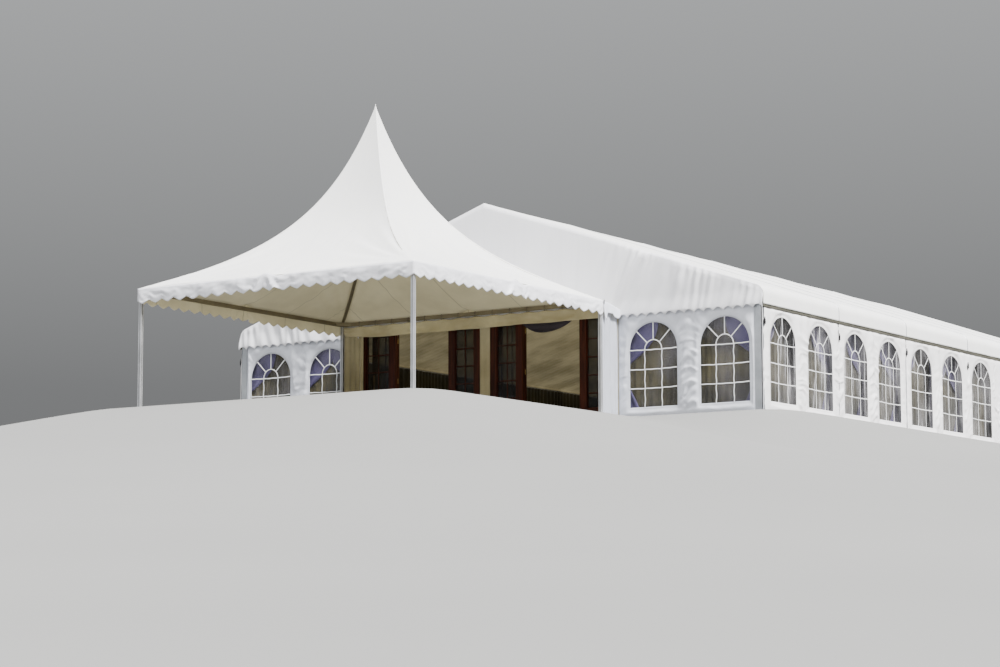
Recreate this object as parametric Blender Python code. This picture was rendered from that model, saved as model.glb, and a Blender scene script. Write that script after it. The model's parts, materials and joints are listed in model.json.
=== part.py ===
"""A frame marquee, 12 m wide, with a 6 m peaked canopy over its entrance.

Metres, +Z up. X runs along the front gable and +Y runs back along the marquee.
The origin is on the ground, under the middle upright of the front gable.
"""

import math

import bmesh
import bpy
from mathutils import Matrix, Vector

# Driving sizes of the marquee
SPAN_WIDTH = 11.9
BAY_LENGTH = 3.0
BAYS = 6
EAVE_HEIGHT = 2.25
RIDGE_HEIGHT = 4.33
GABLE_BAYS = 4
BAYS_A_PANEL = 2

# Sheets, clearances and the frame's sections
SKIN = 0.006
CLEAR_SHEET = 0.003
GAP = 0.0003
SEAM_GAP = 0.003
HEM_GAP = 0.003
PROFILE_DEPTH = 0.13
PROFILE_WIDTH = 0.07
KNEE_RADIUS = 0.20
KNEE_STEPS = 5
APEX_PLATE = 0.50
FOOT_LENGTH = 0.28
FOOT_WIDTH = 0.24
FOOT_THICKNESS = 0.012

# Eave rail, side valance and ridge purlin
RAIL_THICKNESS = 0.05
RAIL_HEIGHT = 0.09
RAIL_SHOWS = 0.045
FASCIA_DEPTH = 0.32
PURLIN_WIDTH = 0.06
PURLIN_HEIGHT = 0.08

# Arched windows
WINDOW_WIDTH = 1.0
WINDOW_SILL = 0.20
WINDOW_HEAD = 0.13
ARCH_STEPS = 12
WINDOWS_A_BAY = 2
SHEET_LAP = 0.06

# Gable ends
UPRIGHT_WIDTH = 0.09
UPRIGHT_SETBACK = 0.015
GABLE_BEAM_DROP = 0.16
GABLE_BEAM_HEIGHT = 0.07
GABLE_VALANCE_DEPTH = 0.32
GABLE_SCALLOP_DEPTH = 0.045
GABLE_SCALLOPS = 60
GABLE_SCALLOP_STEPS = 4

# Doors under the canopy
DOOR_CLEAR_WIDTH = 1.27
DOOR_SET_INNER_MARGIN = 0.115
DOOR_SET_OUTER_MARGIN = 0.085
DOOR_SET_DEPTH = 0.09
POST_WIDTH = 0.07
HEAD_HEIGHT = 0.07
LIGHT_STILE = 0.08
SILL_RAIL = 0.25
LIGHT_HEAD = 0.03
LEAF_THICKNESS = 0.04
LEAF_STILE = 0.095
LEAF_SIDE_GAP = 0.005
LEAF_MEETING_GAP = 0.003
LEAF_END_GAP = 0.010
LEAF_GROUND_GAP = 0.03
HINGE_RADIUS = 0.010
HINGE_STAND_OFF = 0.012
HINGE_LENGTH = 0.05
HINGE_PLATE = 0.045
HINGE_PLATE_THICKNESS = 0.004
HINGE_PLATE_SETBACK = 0.001
HINGE_BITE = 0.002
HINGE_GAP = 0.0005
HINGE_SIDES = 12
HINGES = 3
HINGE_INSET = 0.20

# Lining and curtains
LINING_EAVE_HEIGHT = 2.08
LINING_HEM_DROP = 0.08
LINING_END_GAP = 0.15
CURTAIN_THICKNESS = 0.06
CURTAIN_TOP_HEIGHT = 1.97
CURTAIN_HEM_HEIGHT = 0.03
CURTAIN_END_GAP = 0.01

# Peaked canopy
CANOPY_WIDTH = 6.0
CANOPY_EAVE_HEIGHT = 2.15
CANOPY_SLOPE_RISE = 1.14
CANOPY_PEAK_RISE = 2.36
CANOPY_PEAK_RATE = 4.2
CANOPY_LEVELS = 16
CANOPY_TIP = 0.018
LINK_GAP = 0.58
CANOPY_VALANCE_DEPTH = 0.28
CANOPY_HEM_DEPTH = 0.07
CANOPY_SCALLOPS = 21
CANOPY_SCALLOP_STEPS = 4
CANOPY_SCALLOP_DEPTH = 0.065
LEG_SIZE = 0.06
LEG_INSET = 0.012
LEG_FOOT = 0.20
RING_WIDTH = 0.06
RING_HEIGHT = 0.07
RING_DROP = 0.006
RING_CORNER = 0.22
HIP_WIDTH = 0.05
HIP_DEPTH = 0.05
HIP_CLEARANCE = 0.004
HIP_FOOT = 0.20
HUB_RADIUS = 0.045
HUB_BOTTOM_RISE = 2.40
HUB_NECK_RISE = 3.00
HUB_PIN_RADIUS = 0.008
HUB_REACH = 3.0
HUB_SIDES = 12
FINIAL_RADIUS = 0.032
FINIAL_HEIGHT = 0.10

# Gutter and flap between the canopy and the gable
GUTTER_DEPTH = 0.12
GUTTER_FLANGE = 0.05
GUTTER_STEPS = 6
FLAP_TOP_GAP = 0.03
FLAP_DEPTH = 0.23
FLAP_TIES = 15
FLAP_TIE_WIDTH = 0.025

# Places worked out from the sizes
LENGTH = BAY_LENGTH * BAYS
HEM_Z = FOOT_THICKNESS + HEM_GAP
FRONT_FACE = -PROFILE_WIDTH / 2
BACK_FACE = LENGTH + PROFILE_WIDTH / 2
DOOR_FRONT = FRONT_FACE + UPRIGHT_SETBACK
LEG_OUT = SPAN_WIDTH / 2
LEG_IN = LEG_OUT - PROFILE_DEPTH
FASCIA_OUT = LEG_OUT + RAIL_THICKNESS + 2 * GAP + SKIN
PITCH = math.atan2(RIDGE_HEIGHT - EAVE_HEIGHT, FASCIA_OUT)
FASCIA_Z = EAVE_HEIGHT - FASCIA_DEPTH
RAIL_Z = FASCIA_Z - RAIL_SHOWS
GABLE_BEAM_BOTTOM = EAVE_HEIGHT - GABLE_BEAM_DROP
LINING_HEM_HEIGHT = LINING_EAVE_HEIGHT - LINING_HEM_DROP
GABLE_VALANCE_BOTTOM = EAVE_HEIGHT - GABLE_VALANCE_DEPTH
PORTAL_INSET = SKIN + GAP
RAFTER_INSET = PORTAL_INSET + PROFILE_DEPTH
GABLE_BAY = SPAN_WIDTH / GABLE_BAYS
ARCH_RADIUS = WINDOW_WIDTH / 2
SPRINGING_Z = RAIL_Z - WINDOW_HEAD - ARCH_RADIUS
SIDE_WALL_X = LEG_OUT + RAIL_THICKNESS / 2
CANOPY_HALF = CANOPY_WIDTH / 2
CANOPY_Y = -LINK_GAP - CANOPY_HALF
RING_OUT = CANOPY_HALF - SKIN - GAP
RING_TOP = CANOPY_EAVE_HEIGHT - RING_DROP
RING_BOTTOM = RING_TOP - RING_HEIGHT
HUB_BOTTOM_HEIGHT = CANOPY_EAVE_HEIGHT + HUB_BOTTOM_RISE
HUB_NECK_HEIGHT = CANOPY_EAVE_HEIGHT + HUB_NECK_RISE


def clear_scene():
    for item in list(bpy.data.objects):
        bpy.data.objects.remove(item, do_unlink=True)


def material(name, colour, roughness, metallic=0.0, alpha=1.0):
    made = bpy.data.materials.new(name)
    made.use_nodes = True
    shader = made.node_tree.nodes["Principled BSDF"]
    shader.inputs["Base Color"].default_value = (*colour, 1.0)
    shader.inputs["Roughness"].default_value = roughness
    shader.inputs["Metallic"].default_value = metallic
    shader.inputs["Alpha"].default_value = alpha
    made.diffuse_color = (*colour, alpha)
    return made


def make_materials():
    return {
        "roof": material("white_roof_pvc", (0.86, 0.86, 0.85), 0.45),
        "wall": material("white_wall_pvc", (0.80, 0.81, 0.84), 0.50),
        "clear": material("clear_pvc", (0.75, 0.78, 0.80), 0.10, alpha=0.3),
        "alloy": material("anodised_frame", (0.58, 0.60, 0.62), 0.35, 0.9),
        "rail": material("olive_rail", (0.30, 0.29, 0.22), 0.50, 0.3),
        "lining": material("ivory_lining", (0.72, 0.66, 0.50), 0.80),
        "curtain": material("lavender_voile", (0.40, 0.36, 0.52), 0.85),
        "door": material("mahogany", (0.16, 0.05, 0.035), 0.35),
    }


# Building blocks


def place(item, owner_material):
    bpy.context.scene.collection.objects.link(item)
    item.data.materials.append(owner_material)
    return item


def mesh_object(name, builder, owner_material):
    mesh = bpy.data.meshes.new(name)
    bmesh.ops.recalc_face_normals(builder, faces=builder.faces)
    builder.to_mesh(mesh)
    builder.free()
    return place(bpy.data.objects.new(name, mesh), owner_material)


def outline_object(name, outline, holes, start, end, across, owner_material):
    """A flat outline with holes, made solid from start to end along X, Y or Z.

    Across "y" reads the outline's points as (x, z), across "x" as (y, z), across "z" as (x, y).
    """
    curve = bpy.data.curves.new(name, "CURVE")
    curve.dimensions = "2D"
    curve.fill_mode = "BOTH"
    curve.extrude = abs(end - start) / 2
    for loop in [outline, *holes]:
        spline = curve.splines.new("POLY")
        spline.points.add(len(loop) - 1)
        for point, (u, v) in zip(spline.points, loop):
            point.co = (u, v, 0.0, 1.0)
        spline.use_cyclic_u = True
    item = place(bpy.data.objects.new(name, curve), owner_material)
    middle = (start + end) / 2
    if across == "y":
        item.matrix_world = Matrix.Translation((0, middle, 0)) @ Matrix.Rotation(math.pi / 2, 4, "X")
    elif across == "x":
        upright = Matrix(((0, 0, 1, 0), (1, 0, 0, 0), (0, 1, 0, 0), (0, 0, 0, 1)))
        item.matrix_world = Matrix.Translation((middle, 0, 0)) @ upright
    else:
        item.matrix_world = Matrix.Translation((0, 0, middle))
    return item


def rectangle(u0, u1, v0, v1):
    return [(u0, v0), (u1, v0), (u1, v1), (u0, v1)]


def add_box(builder, low, high):
    centre = [(a + b) / 2 for a, b in zip(low, high)]
    size = [b - a for a, b in zip(low, high)]
    move = Matrix.Translation(centre) @ Matrix.Diagonal((*size, 1.0))
    bmesh.ops.create_cube(builder, size=1.0, matrix=move)


def box_object(name, low, high, owner_material):
    builder = bmesh.new()
    add_box(builder, low, high)
    return mesh_object(name, builder, owner_material)


def add_cylinder(builder, centre, radius, bottom, top, sides):
    move = Matrix.Translation((centre[0], centre[1], (bottom + top) / 2))
    bmesh.ops.create_cone(
        builder,
        cap_ends=True,
        segments=sides,
        radius1=radius,
        radius2=radius,
        depth=top - bottom,
        matrix=move,
    )


def as_mesh(item):
    """The object's evaluated shape as a mesh object of the same name, with the object removed."""
    graph = bpy.context.evaluated_depsgraph_get()
    mesh = bpy.data.meshes.new_from_object(item.evaluated_get(graph))
    mesh.transform(item.matrix_world)
    name, owner_material = item.name, item.data.materials[0]
    bpy.data.objects.remove(item, do_unlink=True)
    builder = bmesh.new()
    builder.from_mesh(mesh)
    bmesh.ops.remove_doubles(builder, verts=builder.verts, dist=1e-6)
    made = mesh_object(name, builder, owner_material)
    made.name = name
    return made


def joined(base, others):
    """One solid from pieces that overlap, under the name of the first."""
    for number, other in enumerate(others):
        union = base.modifiers.new(f"union_{number}", "BOOLEAN")
        union.operation = "UNION"
        union.solver = "EXACT"
        union.object = other
    bpy.context.view_layer.update()
    made = as_mesh(base)
    for other in others:
        bpy.data.objects.remove(other, do_unlink=True)
    return made


# The roof's outline, which the portals, sheets and gables share


def fillet(corner, before, after, radius, steps):
    """Points of the arc of this radius that rounds the corner between two directions."""
    towards = (Vector(before) - Vector(corner)).normalized()
    away = (Vector(after) - Vector(corner)).normalized()
    half = towards.angle(away) / 2
    centre = Vector(corner) + (towards + away).normalized() * radius / math.sin(half)
    first = Vector(corner) + towards * radius / math.tan(half) - centre
    last = Vector(corner) + away * radius / math.tan(half) - centre
    turn = first.angle(last)
    points = []
    for step in range(steps + 1):
        share = step / steps
        mix = first * math.sin((1 - share) * turn) + last * math.sin(share * turn)
        points.append(tuple(centre + mix / math.sin(turn)))
    return points


def slope_z(x, inset):
    """Height of the line parallel to the roof's outer face, this far inside it."""
    return RIDGE_HEIGHT - inset / math.cos(PITCH) - x * math.tan(PITCH)


def roof_half(side_x, bottom_z, inset, radius):
    """Right half of a roof line from its lower end up to the ridge."""
    corner = (side_x, slope_z(side_x, inset))
    ridge = (0.0, slope_z(0.0, inset))
    knee = fillet(corner, (side_x, bottom_z), ridge, radius, KNEE_STEPS)
    return [(side_x, bottom_z), *knee, ridge]


def both_halves(half):
    """The right half and its mirror, as one line from right to left."""
    return half + [(-x, z) for x, z in reversed(half[:-1])]


def roof_line(inset, bottom_z=FASCIA_Z):
    return both_halves(roof_half(FASCIA_OUT - inset, bottom_z, inset, KNEE_RADIUS - inset))


# Marquee frame


def portal_outline():
    outer = both_halves(roof_half(LEG_OUT, 0.0, PORTAL_INSET, KNEE_RADIUS - PORTAL_INSET))
    plate = APEX_PLATE / 2
    inner = [
        (LEG_IN, 0.0),
        (LEG_IN, slope_z(LEG_IN, RAFTER_INSET)),
        (plate, slope_z(plate, RAFTER_INSET)),
    ]
    mirrored = [(-x, z) for x, z in reversed(inner)]
    return outer + list(reversed(mirrored)) + list(reversed(inner))


def portal(number, y, materials):
    start = y - PROFILE_WIDTH / 2
    end = y + PROFILE_WIDTH / 2
    name = f"portal_frame_{number}"
    frame = as_mesh(outline_object(name, portal_outline(), [], start, end, "y", materials["alloy"]))
    feet = []
    for side in (-1, 1):
        outside = side * LEG_OUT
        inside = side * (LEG_OUT - FOOT_LENGTH)
        low = (min(outside, inside), y - FOOT_WIDTH / 2, 0.0)
        high = (max(outside, inside), y + FOOT_WIDTH / 2, FOOT_THICKNESS)
        feet.append(box_object(f"foot_{side}", low, high, materials["alloy"]))
    return joined(frame, feet)


def eave_rail(name, side, materials):
    faces = sorted((side * (LEG_OUT + GAP), side * (LEG_OUT + GAP + RAIL_THICKNESS)))
    low = (faces[0], FRONT_FACE, RAIL_Z)
    high = (faces[1], BACK_FACE, RAIL_Z + RAIL_HEIGHT)
    return box_object(name, low, high, materials["rail"])


def ridge_purlin(materials):
    top = slope_z(APEX_PLATE / 2, RAFTER_INSET) - GAP
    low = (-PURLIN_WIDTH / 2, FRONT_FACE + UPRIGHT_SETBACK, top - PURLIN_HEIGHT)
    high = (PURLIN_WIDTH / 2, BACK_FACE - UPRIGHT_SETBACK, top)
    return box_object("ridge_purlin", low, high, materials["alloy"])


def upright_places():
    return [GABLE_BAY * (i - GABLE_BAYS / 2) for i in range(1, GABLE_BAYS)]


def upright_top(x):
    """Underside of the rafter over an upright at x, or of the ridge purlin."""
    half = UPRIGHT_WIDTH / 2
    if abs(x) < half:
        return slope_z(APEX_PLATE / 2, RAFTER_INSET) - PURLIN_HEIGHT - 2 * GAP
    return slope_z(abs(x) + half, RAFTER_INSET) - GAP


def gable_frame(name, inwards, face, materials):
    """Uprights and the beam that carries the gable's walls, set back from the portal's face."""
    ys = sorted((face + inwards * UPRIGHT_SETBACK, face + inwards * PROFILE_WIDTH))
    beam_end = LEG_IN - GAP
    low = (-beam_end, ys[0], GABLE_BEAM_BOTTOM)
    high = (beam_end, ys[1], GABLE_BEAM_BOTTOM + GABLE_BEAM_HEIGHT)
    beam = box_object(name, low, high, materials["alloy"])
    posts = []
    for number, x in enumerate(upright_places()):
        low = (x - UPRIGHT_WIDTH / 2, ys[0], 0.0)
        high = (x + UPRIGHT_WIDTH / 2, ys[1], upright_top(x))
        posts.append(box_object(f"post_{number}", low, high, materials["alloy"]))
    return joined(beam, posts)


# Marquee sheets


def roof_sheet(number, materials):
    start = FRONT_FACE if number == 1 else (number - 1) * BAY_LENGTH + SEAM_GAP / 2
    end = BACK_FACE if number == BAYS else number * BAY_LENGTH - SEAM_GAP / 2
    outline = roof_line(0.0) + list(reversed(roof_line(SKIN)))
    return outline_object(f"roof_sheet_{number}", outline, [], start, end, "y", materials["roof"])


def scalloped(left, right, count, steps, high_z, depth):
    """Points along a scalloped hem from left to right, as a wave with round notches."""
    points = []
    total = count * steps
    for i in range(total + 1):
        share = i / total
        wave = abs(math.sin(math.pi * count * share))
        points.append((left + (right - left) * share, high_z - depth * (1 - wave)))
    return points


def gable_sheet(name, outwards, face, materials):
    """Gable triangle and its scalloped valance, in front of the portal and of the roof's edge."""
    hem_z = GABLE_VALANCE_BOTTOM
    hem = scalloped(
        -FASCIA_OUT, FASCIA_OUT, GABLE_SCALLOPS, GABLE_SCALLOP_STEPS, hem_z, GABLE_SCALLOP_DEPTH
    )
    outline = hem + roof_line(0.0, FASCIA_Z)[1:-1]
    near = face + outwards * GAP
    ys = sorted((near, near + outwards * SKIN))
    return outline_object(name, outline, [], ys[0], ys[1], "y", materials["roof"])


def window_outline(centre):
    """Arched window with its centre at this place along the wall."""
    points = [(centre - ARCH_RADIUS, WINDOW_SILL), (centre + ARCH_RADIUS, WINDOW_SILL)]
    for i in range(ARCH_STEPS + 1):
        angle = math.pi * i / ARCH_STEPS
        points.append(
            (centre + ARCH_RADIUS * math.cos(angle), SPRINGING_Z + ARCH_RADIUS * math.sin(angle))
        )
    return points


def window_centres(start, bay, bays):
    step = bay / WINDOWS_A_BAY
    return [start + step * (i + 0.5) for i in range(WINDOWS_A_BAY * bays)]


def side_wall(name, side, first_bay, bays, materials):
    start = FRONT_FACE if first_bay == 0 else first_bay * BAY_LENGTH + SEAM_GAP / 2
    end = BACK_FACE if first_bay + bays == BAYS else (first_bay + bays) * BAY_LENGTH - SEAM_GAP / 2
    outline = rectangle(start, end, HEM_Z, RAIL_Z - GAP)
    holes = [window_outline(c) for c in window_centres(first_bay * BAY_LENGTH, BAY_LENGTH, bays)]
    xs = sorted((side * SIDE_WALL_X, side * (SIDE_WALL_X - SKIN)))
    return outline_object(name, outline, holes, xs[0], xs[1], "x", materials["wall"])


def side_windows(name, side, materials):
    """One clear sheet behind all the windows of a side."""
    first = window_centres(0.0, BAY_LENGTH, BAYS)[0] - ARCH_RADIUS - SHEET_LAP
    outline = rectangle(
        first,
        LENGTH - first,
        WINDOW_SILL - SHEET_LAP,
        SPRINGING_Z + ARCH_RADIUS + SHEET_LAP,
    )
    face = SIDE_WALL_X - SKIN - GAP
    xs = sorted((side * face, side * (face - CLEAR_SHEET)))
    return outline_object(name, outline, [], xs[0], xs[1], "x", materials["clear"])


def gable_wall_ys(inwards, face):
    """Near and far face of a gable wall, against the uprights' outer faces."""
    back = face + inwards * (UPRIGHT_SETBACK - GAP)
    return sorted((back, back - inwards * SKIN))


def gable_wall(name, left, right, centres, inwards, face, materials):
    outline = rectangle(left, right, HEM_Z, GABLE_BEAM_BOTTOM + GABLE_BEAM_HEIGHT)
    holes = [window_outline(c) for c in centres]
    ys = gable_wall_ys(inwards, face)
    return outline_object(name, outline, holes, ys[0], ys[1], "y", materials["wall"])


def gable_windows(name, centres, inwards, face, materials):
    """One clear sheet in front of a gable wall's windows, under the valance's line."""
    outline = rectangle(
        centres[0] - ARCH_RADIUS - SHEET_LAP,
        centres[-1] + ARCH_RADIUS + SHEET_LAP,
        WINDOW_SILL - SHEET_LAP,
        SPRINGING_Z + ARCH_RADIUS + SHEET_LAP,
    )
    ys = gable_wall_ys(inwards, face)
    front = ys[0] if inwards > 0 else ys[1]
    near = front - inwards * GAP
    ends = sorted((near, near - inwards * CLEAR_SHEET))
    return outline_object(name, outline, [], ends[0], ends[1], "y", materials["clear"])


# Doors


def door_centres():
    return (-GABLE_BAY / 2, GABLE_BAY / 2)


def door_set_edges(centre):
    near = math.copysign(DOOR_SET_INNER_MARGIN, centre)
    far = math.copysign(GABLE_BAY - DOOR_SET_OUTER_MARGIN, centre)
    return min(near, far), max(near, far)


def front_wall_centre(materials):
    """Strips of wall beside the two door sets, hung from one header."""
    edge = GABLE_BAY - SEAM_GAP
    outline = [(-edge, HEM_Z)]
    for centre in door_centres():
        left, right = door_set_edges(centre)
        outline += [
            (left - GAP, HEM_Z),
            (left - GAP, GABLE_BEAM_BOTTOM),
            (right + GAP, GABLE_BEAM_BOTTOM),
            (right + GAP, HEM_Z),
        ]
    top = GABLE_BEAM_BOTTOM + GABLE_BEAM_HEIGHT
    outline += [(edge, HEM_Z), (edge, top), (-edge, top)]
    ys = gable_wall_ys(1, FRONT_FACE)
    return outline_object("front_wall_centre", outline, [], ys[0], ys[1], "y", materials["wall"])


def hinge_heights():
    """Height of the joint between the two barrels of each hinge."""
    low = LEAF_GROUND_GAP + HINGE_INSET
    high = GABLE_BEAM_BOTTOM - GAP - HEAD_HEIGHT - LEAF_END_GAP - HINGE_INSET
    return [low + (high - low) * i / (HINGES - 1) for i in range(HINGES)]


def hinge_axis_y():
    return DOOR_FRONT + DOOR_SET_DEPTH + HINGE_STAND_OFF


def hinge_outline(x, towards, facing):
    """Section of a barrel and its plate: the plate runs towards ±X, on the face that lies at ±Y."""
    inner = HINGE_STAND_OFF - HINGE_PLATE_THICKNESS
    outer = HINGE_STAND_OFF + HINGE_BITE
    first = math.asin(inner / HINGE_RADIUS)
    last = math.acos(HINGE_PLATE_SETBACK / HINGE_RADIUS) - 2 * math.pi
    section = []
    for i in range(HINGE_SIDES + 1):
        angle = first + (last - first) * i / HINGE_SIDES
        section.append((HINGE_RADIUS * math.cos(angle), HINGE_RADIUS * math.sin(angle)))
    section += [(HINGE_PLATE_SETBACK, outer), (HINGE_PLATE, outer), (HINGE_PLATE, inner)]
    return [(x + towards * u, hinge_axis_y() + facing * v) for u, v in section]


def hinge_half(name, x, towards, facing, upper, materials):
    """A barrel and plate at each hinge: the lower ones on the frame, the upper ones on the leaf."""
    pieces = []
    for number, joint_z in enumerate(hinge_heights()):
        bottom = joint_z + HINGE_GAP / 2 if upper else joint_z - HINGE_GAP / 2 - HINGE_LENGTH
        outline = hinge_outline(x, towards, facing)
        piece = outline_object(
            f"{name}_{number}", outline, [], bottom, bottom + HINGE_LENGTH, "z", materials["alloy"]
        )
        pieces.append(as_mesh(piece))
    return pieces


def door_set(name, centre, materials):
    """Hardwood frame with a fixed light on each side of the doorway, and the hinges' lower halves."""
    left, right = door_set_edges(centre)
    half = DOOR_CLEAR_WIDTH / 2
    top = GABLE_BEAM_BOTTOM - GAP
    lintel = top - HEAD_HEIGHT
    outline = [
        (left, 0.0),
        (centre - half, 0.0),
        (centre - half, lintel),
        (centre + half, lintel),
        (centre + half, 0.0),
        (right, 0.0),
        (right, top),
        (left, top),
    ]
    light_top = lintel - LIGHT_HEAD
    rim = POST_WIDTH + LIGHT_STILE
    left_rim, right_rim = (POST_WIDTH, rim) if centre < 0 else (rim, POST_WIDTH)
    lights = [
        rectangle(left + left_rim, centre - half - rim, SILL_RAIL, light_top),
        rectangle(centre + half + rim, right - right_rim, SILL_RAIL, light_top),
    ]
    back = DOOR_FRONT + DOOR_SET_DEPTH
    frame = as_mesh(outline_object(name, outline, lights, DOOR_FRONT, back, "y", materials["door"]))
    hinges = hinge_half("left", centre - half, -1, -1, False, materials)
    hinges += hinge_half("right", centre + half, 1, -1, False, materials)
    return joined(frame, hinges)


def door_leaf(name, centre, side, materials):
    """A leaf standing fully open, folded back inside behind the fixed light.

    Its object is placed on the hinge's axis.
    """
    hinge_x = centre + side * DOOR_CLEAR_WIDTH / 2
    near = hinge_x + side * LEAF_SIDE_GAP
    width = DOOR_CLEAR_WIDTH / 2 - LEAF_SIDE_GAP - LEAF_MEETING_GAP
    far = near + side * width
    bottom = LEAF_GROUND_GAP
    top = GABLE_BEAM_BOTTOM - GAP - HEAD_HEIGHT - LEAF_END_GAP
    xs = sorted((near, far))
    outline = rectangle(xs[0], xs[1], bottom, top)
    light = rectangle(
        xs[0] + LEAF_STILE, xs[1] - LEAF_STILE, bottom + SILL_RAIL - LEAF_GROUND_GAP, top - LEAF_STILE
    )
    start = hinge_axis_y() + HINGE_STAND_OFF
    end = start + LEAF_THICKNESS
    leaf = as_mesh(outline_object(name, outline, [light], start, end, "y", materials["door"]))
    made = joined(leaf, hinge_half(name, hinge_x, side, 1, True, materials))
    axis = Vector((hinge_x, hinge_axis_y(), 0.0))
    made.data.transform(Matrix.Translation(-axis))
    made.location = axis
    return made


# Lining and curtains


def roof_lining(materials):
    """Ivory lining hung under the purlin and the rafters."""
    ridge_z = slope_z(APEX_PLATE / 2, RAFTER_INSET) - PURLIN_HEIGHT - 2 * GAP
    side = LEG_IN - GAP
    outer = [(side, LINING_HEM_HEIGHT), (side, LINING_EAVE_HEIGHT), (0.0, ridge_z)]
    inner = [
        (side - SKIN, LINING_HEM_HEIGHT),
        (side - SKIN, LINING_EAVE_HEIGHT - SKIN / 2),
        (0.0, ridge_z - SKIN),
    ]
    outline = both_halves(outer) + list(reversed(both_halves(inner)))
    start = LINING_END_GAP
    end = LENGTH - LINING_END_GAP
    return outline_object("roof_lining", outline, [], start, end, "y", materials["lining"])


def side_curtains(name, side, materials):
    face = LEG_IN - GAP
    xs = sorted((side * face, side * (face - CURTAIN_THICKNESS)))
    low = (xs[0], LINING_END_GAP, CURTAIN_HEM_HEIGHT)
    high = (xs[1], LENGTH - LINING_END_GAP, CURTAIN_TOP_HEIGHT)
    return box_object(name, low, high, materials["curtain"])


def gable_curtains(name, left, right, inwards, face, materials):
    """Curtains behind the uprights of a gable, between the side curtains."""
    near = face + inwards * (PROFILE_WIDTH + GAP)
    ys = sorted((near, near + inwards * CURTAIN_THICKNESS))
    low = (left, ys[0], CURTAIN_HEM_HEIGHT)
    high = (right, ys[1], CURTAIN_TOP_HEIGHT)
    return box_object(name, low, high, materials["curtain"])


# Canopy


def canopy_z(half_side):
    """Height of the canopy's outer face where its square section has this half side."""
    share = half_side / CANOPY_HALF
    peak = math.exp(-CANOPY_PEAK_RATE * share) - math.exp(-CANOPY_PEAK_RATE)
    return CANOPY_EAVE_HEIGHT + CANOPY_SLOPE_RISE * (1 - share) + CANOPY_PEAK_RISE * peak


def canopy_profile():
    """Half side and height of each level from the tip down to the eave, closer where it is steep."""
    levels = []
    for i in range(CANOPY_LEVELS + 1):
        share = (i / CANOPY_LEVELS) ** 1.8
        half_side = CANOPY_TIP + (CANOPY_HALF - CANOPY_TIP) * share
        levels.append((half_side, canopy_z(half_side)))
    return levels


def inset_profile(levels, inset):
    """The profile moved inwards along its own normals, its lower end against the valance."""
    moved = []
    for i, (half_side, z) in enumerate(levels):
        before = Vector(levels[max(i - 1, 0)])
        after = Vector(levels[min(i + 1, len(levels) - 1)])
        along = (after - before).normalized()
        moved.append((half_side + along.y * inset, z - along.x * inset))
    lower = levels[-1]
    slope = (levels[-1][1] - levels[-2][1]) / (levels[-1][0] - levels[-2][0])
    moved[-1] = (lower[0] - inset, lower[1] - inset * (slope + math.hypot(1, slope)))
    return moved


def canopy_hem(side_number, half_side):
    """Lower edge of one side of the canopy, from corner to corner: (along, z)."""
    if side_number == 2:
        hem_z = CANOPY_EAVE_HEIGHT - CANOPY_HEM_DEPTH
        return [(-half_side, hem_z), (half_side, hem_z)]
    low = CANOPY_EAVE_HEIGHT - CANOPY_VALANCE_DEPTH
    total = CANOPY_SCALLOPS * CANOPY_SCALLOP_STEPS
    points = []
    for i in range(total + 1):
        share = i / total
        lobe = abs(math.sin(math.pi * CANOPY_SCALLOPS * share))
        points.append((-half_side + 2 * half_side * share, low + CANOPY_SCALLOP_DEPTH * (1 - lobe)))
    return points


def canopy_skin(builder, profile, lower_half):
    """One face of the canopy: four sloping sides, and the valance below them."""
    turns = [Matrix.Rotation(math.pi / 2 * i, 4, "Z") for i in range(4)]
    middle = Vector((0.0, CANOPY_Y, 0.0))
    rims = []
    corners = []
    for half_side, z in profile:
        ring = [builder.verts.new(middle + turn @ Vector((-half_side, -half_side, z))) for turn in turns]
        corners.append(ring)
    for upper, lower in zip(corners[:-2], corners[1:-1]):
        for i in range(4):
            j = (i + 1) % 4
            builder.faces.new((upper[i], lower[i], lower[j], upper[j]))
    hem_corner = [None] * 4
    hem_low = [canopy_hem(i, lower_half) for i in range(4)]
    for i in range(4):
        side_low = min(hem_low[i][0][1], hem_low[(i + 3) % 4][-1][1])
        point = Vector((-lower_half, -lower_half, side_low))
        hem_corner[i] = builder.verts.new(middle + turns[i] @ point)
    for i in range(4):
        j = (i + 1) % 4
        hem = [hem_corner[i]]
        for along, z in hem_low[i][1:-1]:
            hem.append(builder.verts.new(middle + turns[i] @ Vector((along, -lower_half, z))))
        hem.append(hem_corner[j])
        builder.faces.new((corners[-2][i], corners[-1][i], corners[-1][j], corners[-2][j]))
        builder.faces.new([corners[-1][i], *hem, corners[-1][j]])
        rims.append(hem)
    return corners[0], rims


def canopy_roof(materials):
    outer_profile = canopy_profile()
    inner_profile = inset_profile(outer_profile, SKIN)
    builder = bmesh.new()
    outer_top, outer_rims = canopy_skin(builder, outer_profile, CANOPY_HALF)
    inner_top, inner_rims = canopy_skin(builder, inner_profile, CANOPY_HALF - SKIN)
    for i in range(4):
        j = (i + 1) % 4
        builder.faces.new((outer_top[i], outer_top[j], inner_top[j], inner_top[i]))
    for outer, inner in zip(outer_rims, inner_rims):
        for a in range(len(outer) - 1):
            builder.faces.new((outer[a], inner[a], inner[a + 1], outer[a + 1]))
    return mesh_object("canopy_roof", builder, materials["roof"])


def canopy_leg(name, side_x, side_y, materials):
    outer = RING_OUT - LEG_INSET
    centre = outer - LEG_SIZE / 2
    x = side_x * centre
    y = CANOPY_Y + side_y * centre
    half = LEG_SIZE / 2
    low = (x - half, y - half, 0.0)
    high = (x + half, y + half, RING_BOTTOM - GAP)
    leg = box_object(name, low, high, materials["alloy"])
    plate = LEG_FOOT / 2
    low = (x - plate, y - plate, 0.0)
    high = (x + plate, y + plate, FOOT_THICKNESS)
    foot = box_object("foot", low, high, materials["alloy"])
    return joined(leg, [foot])


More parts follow.
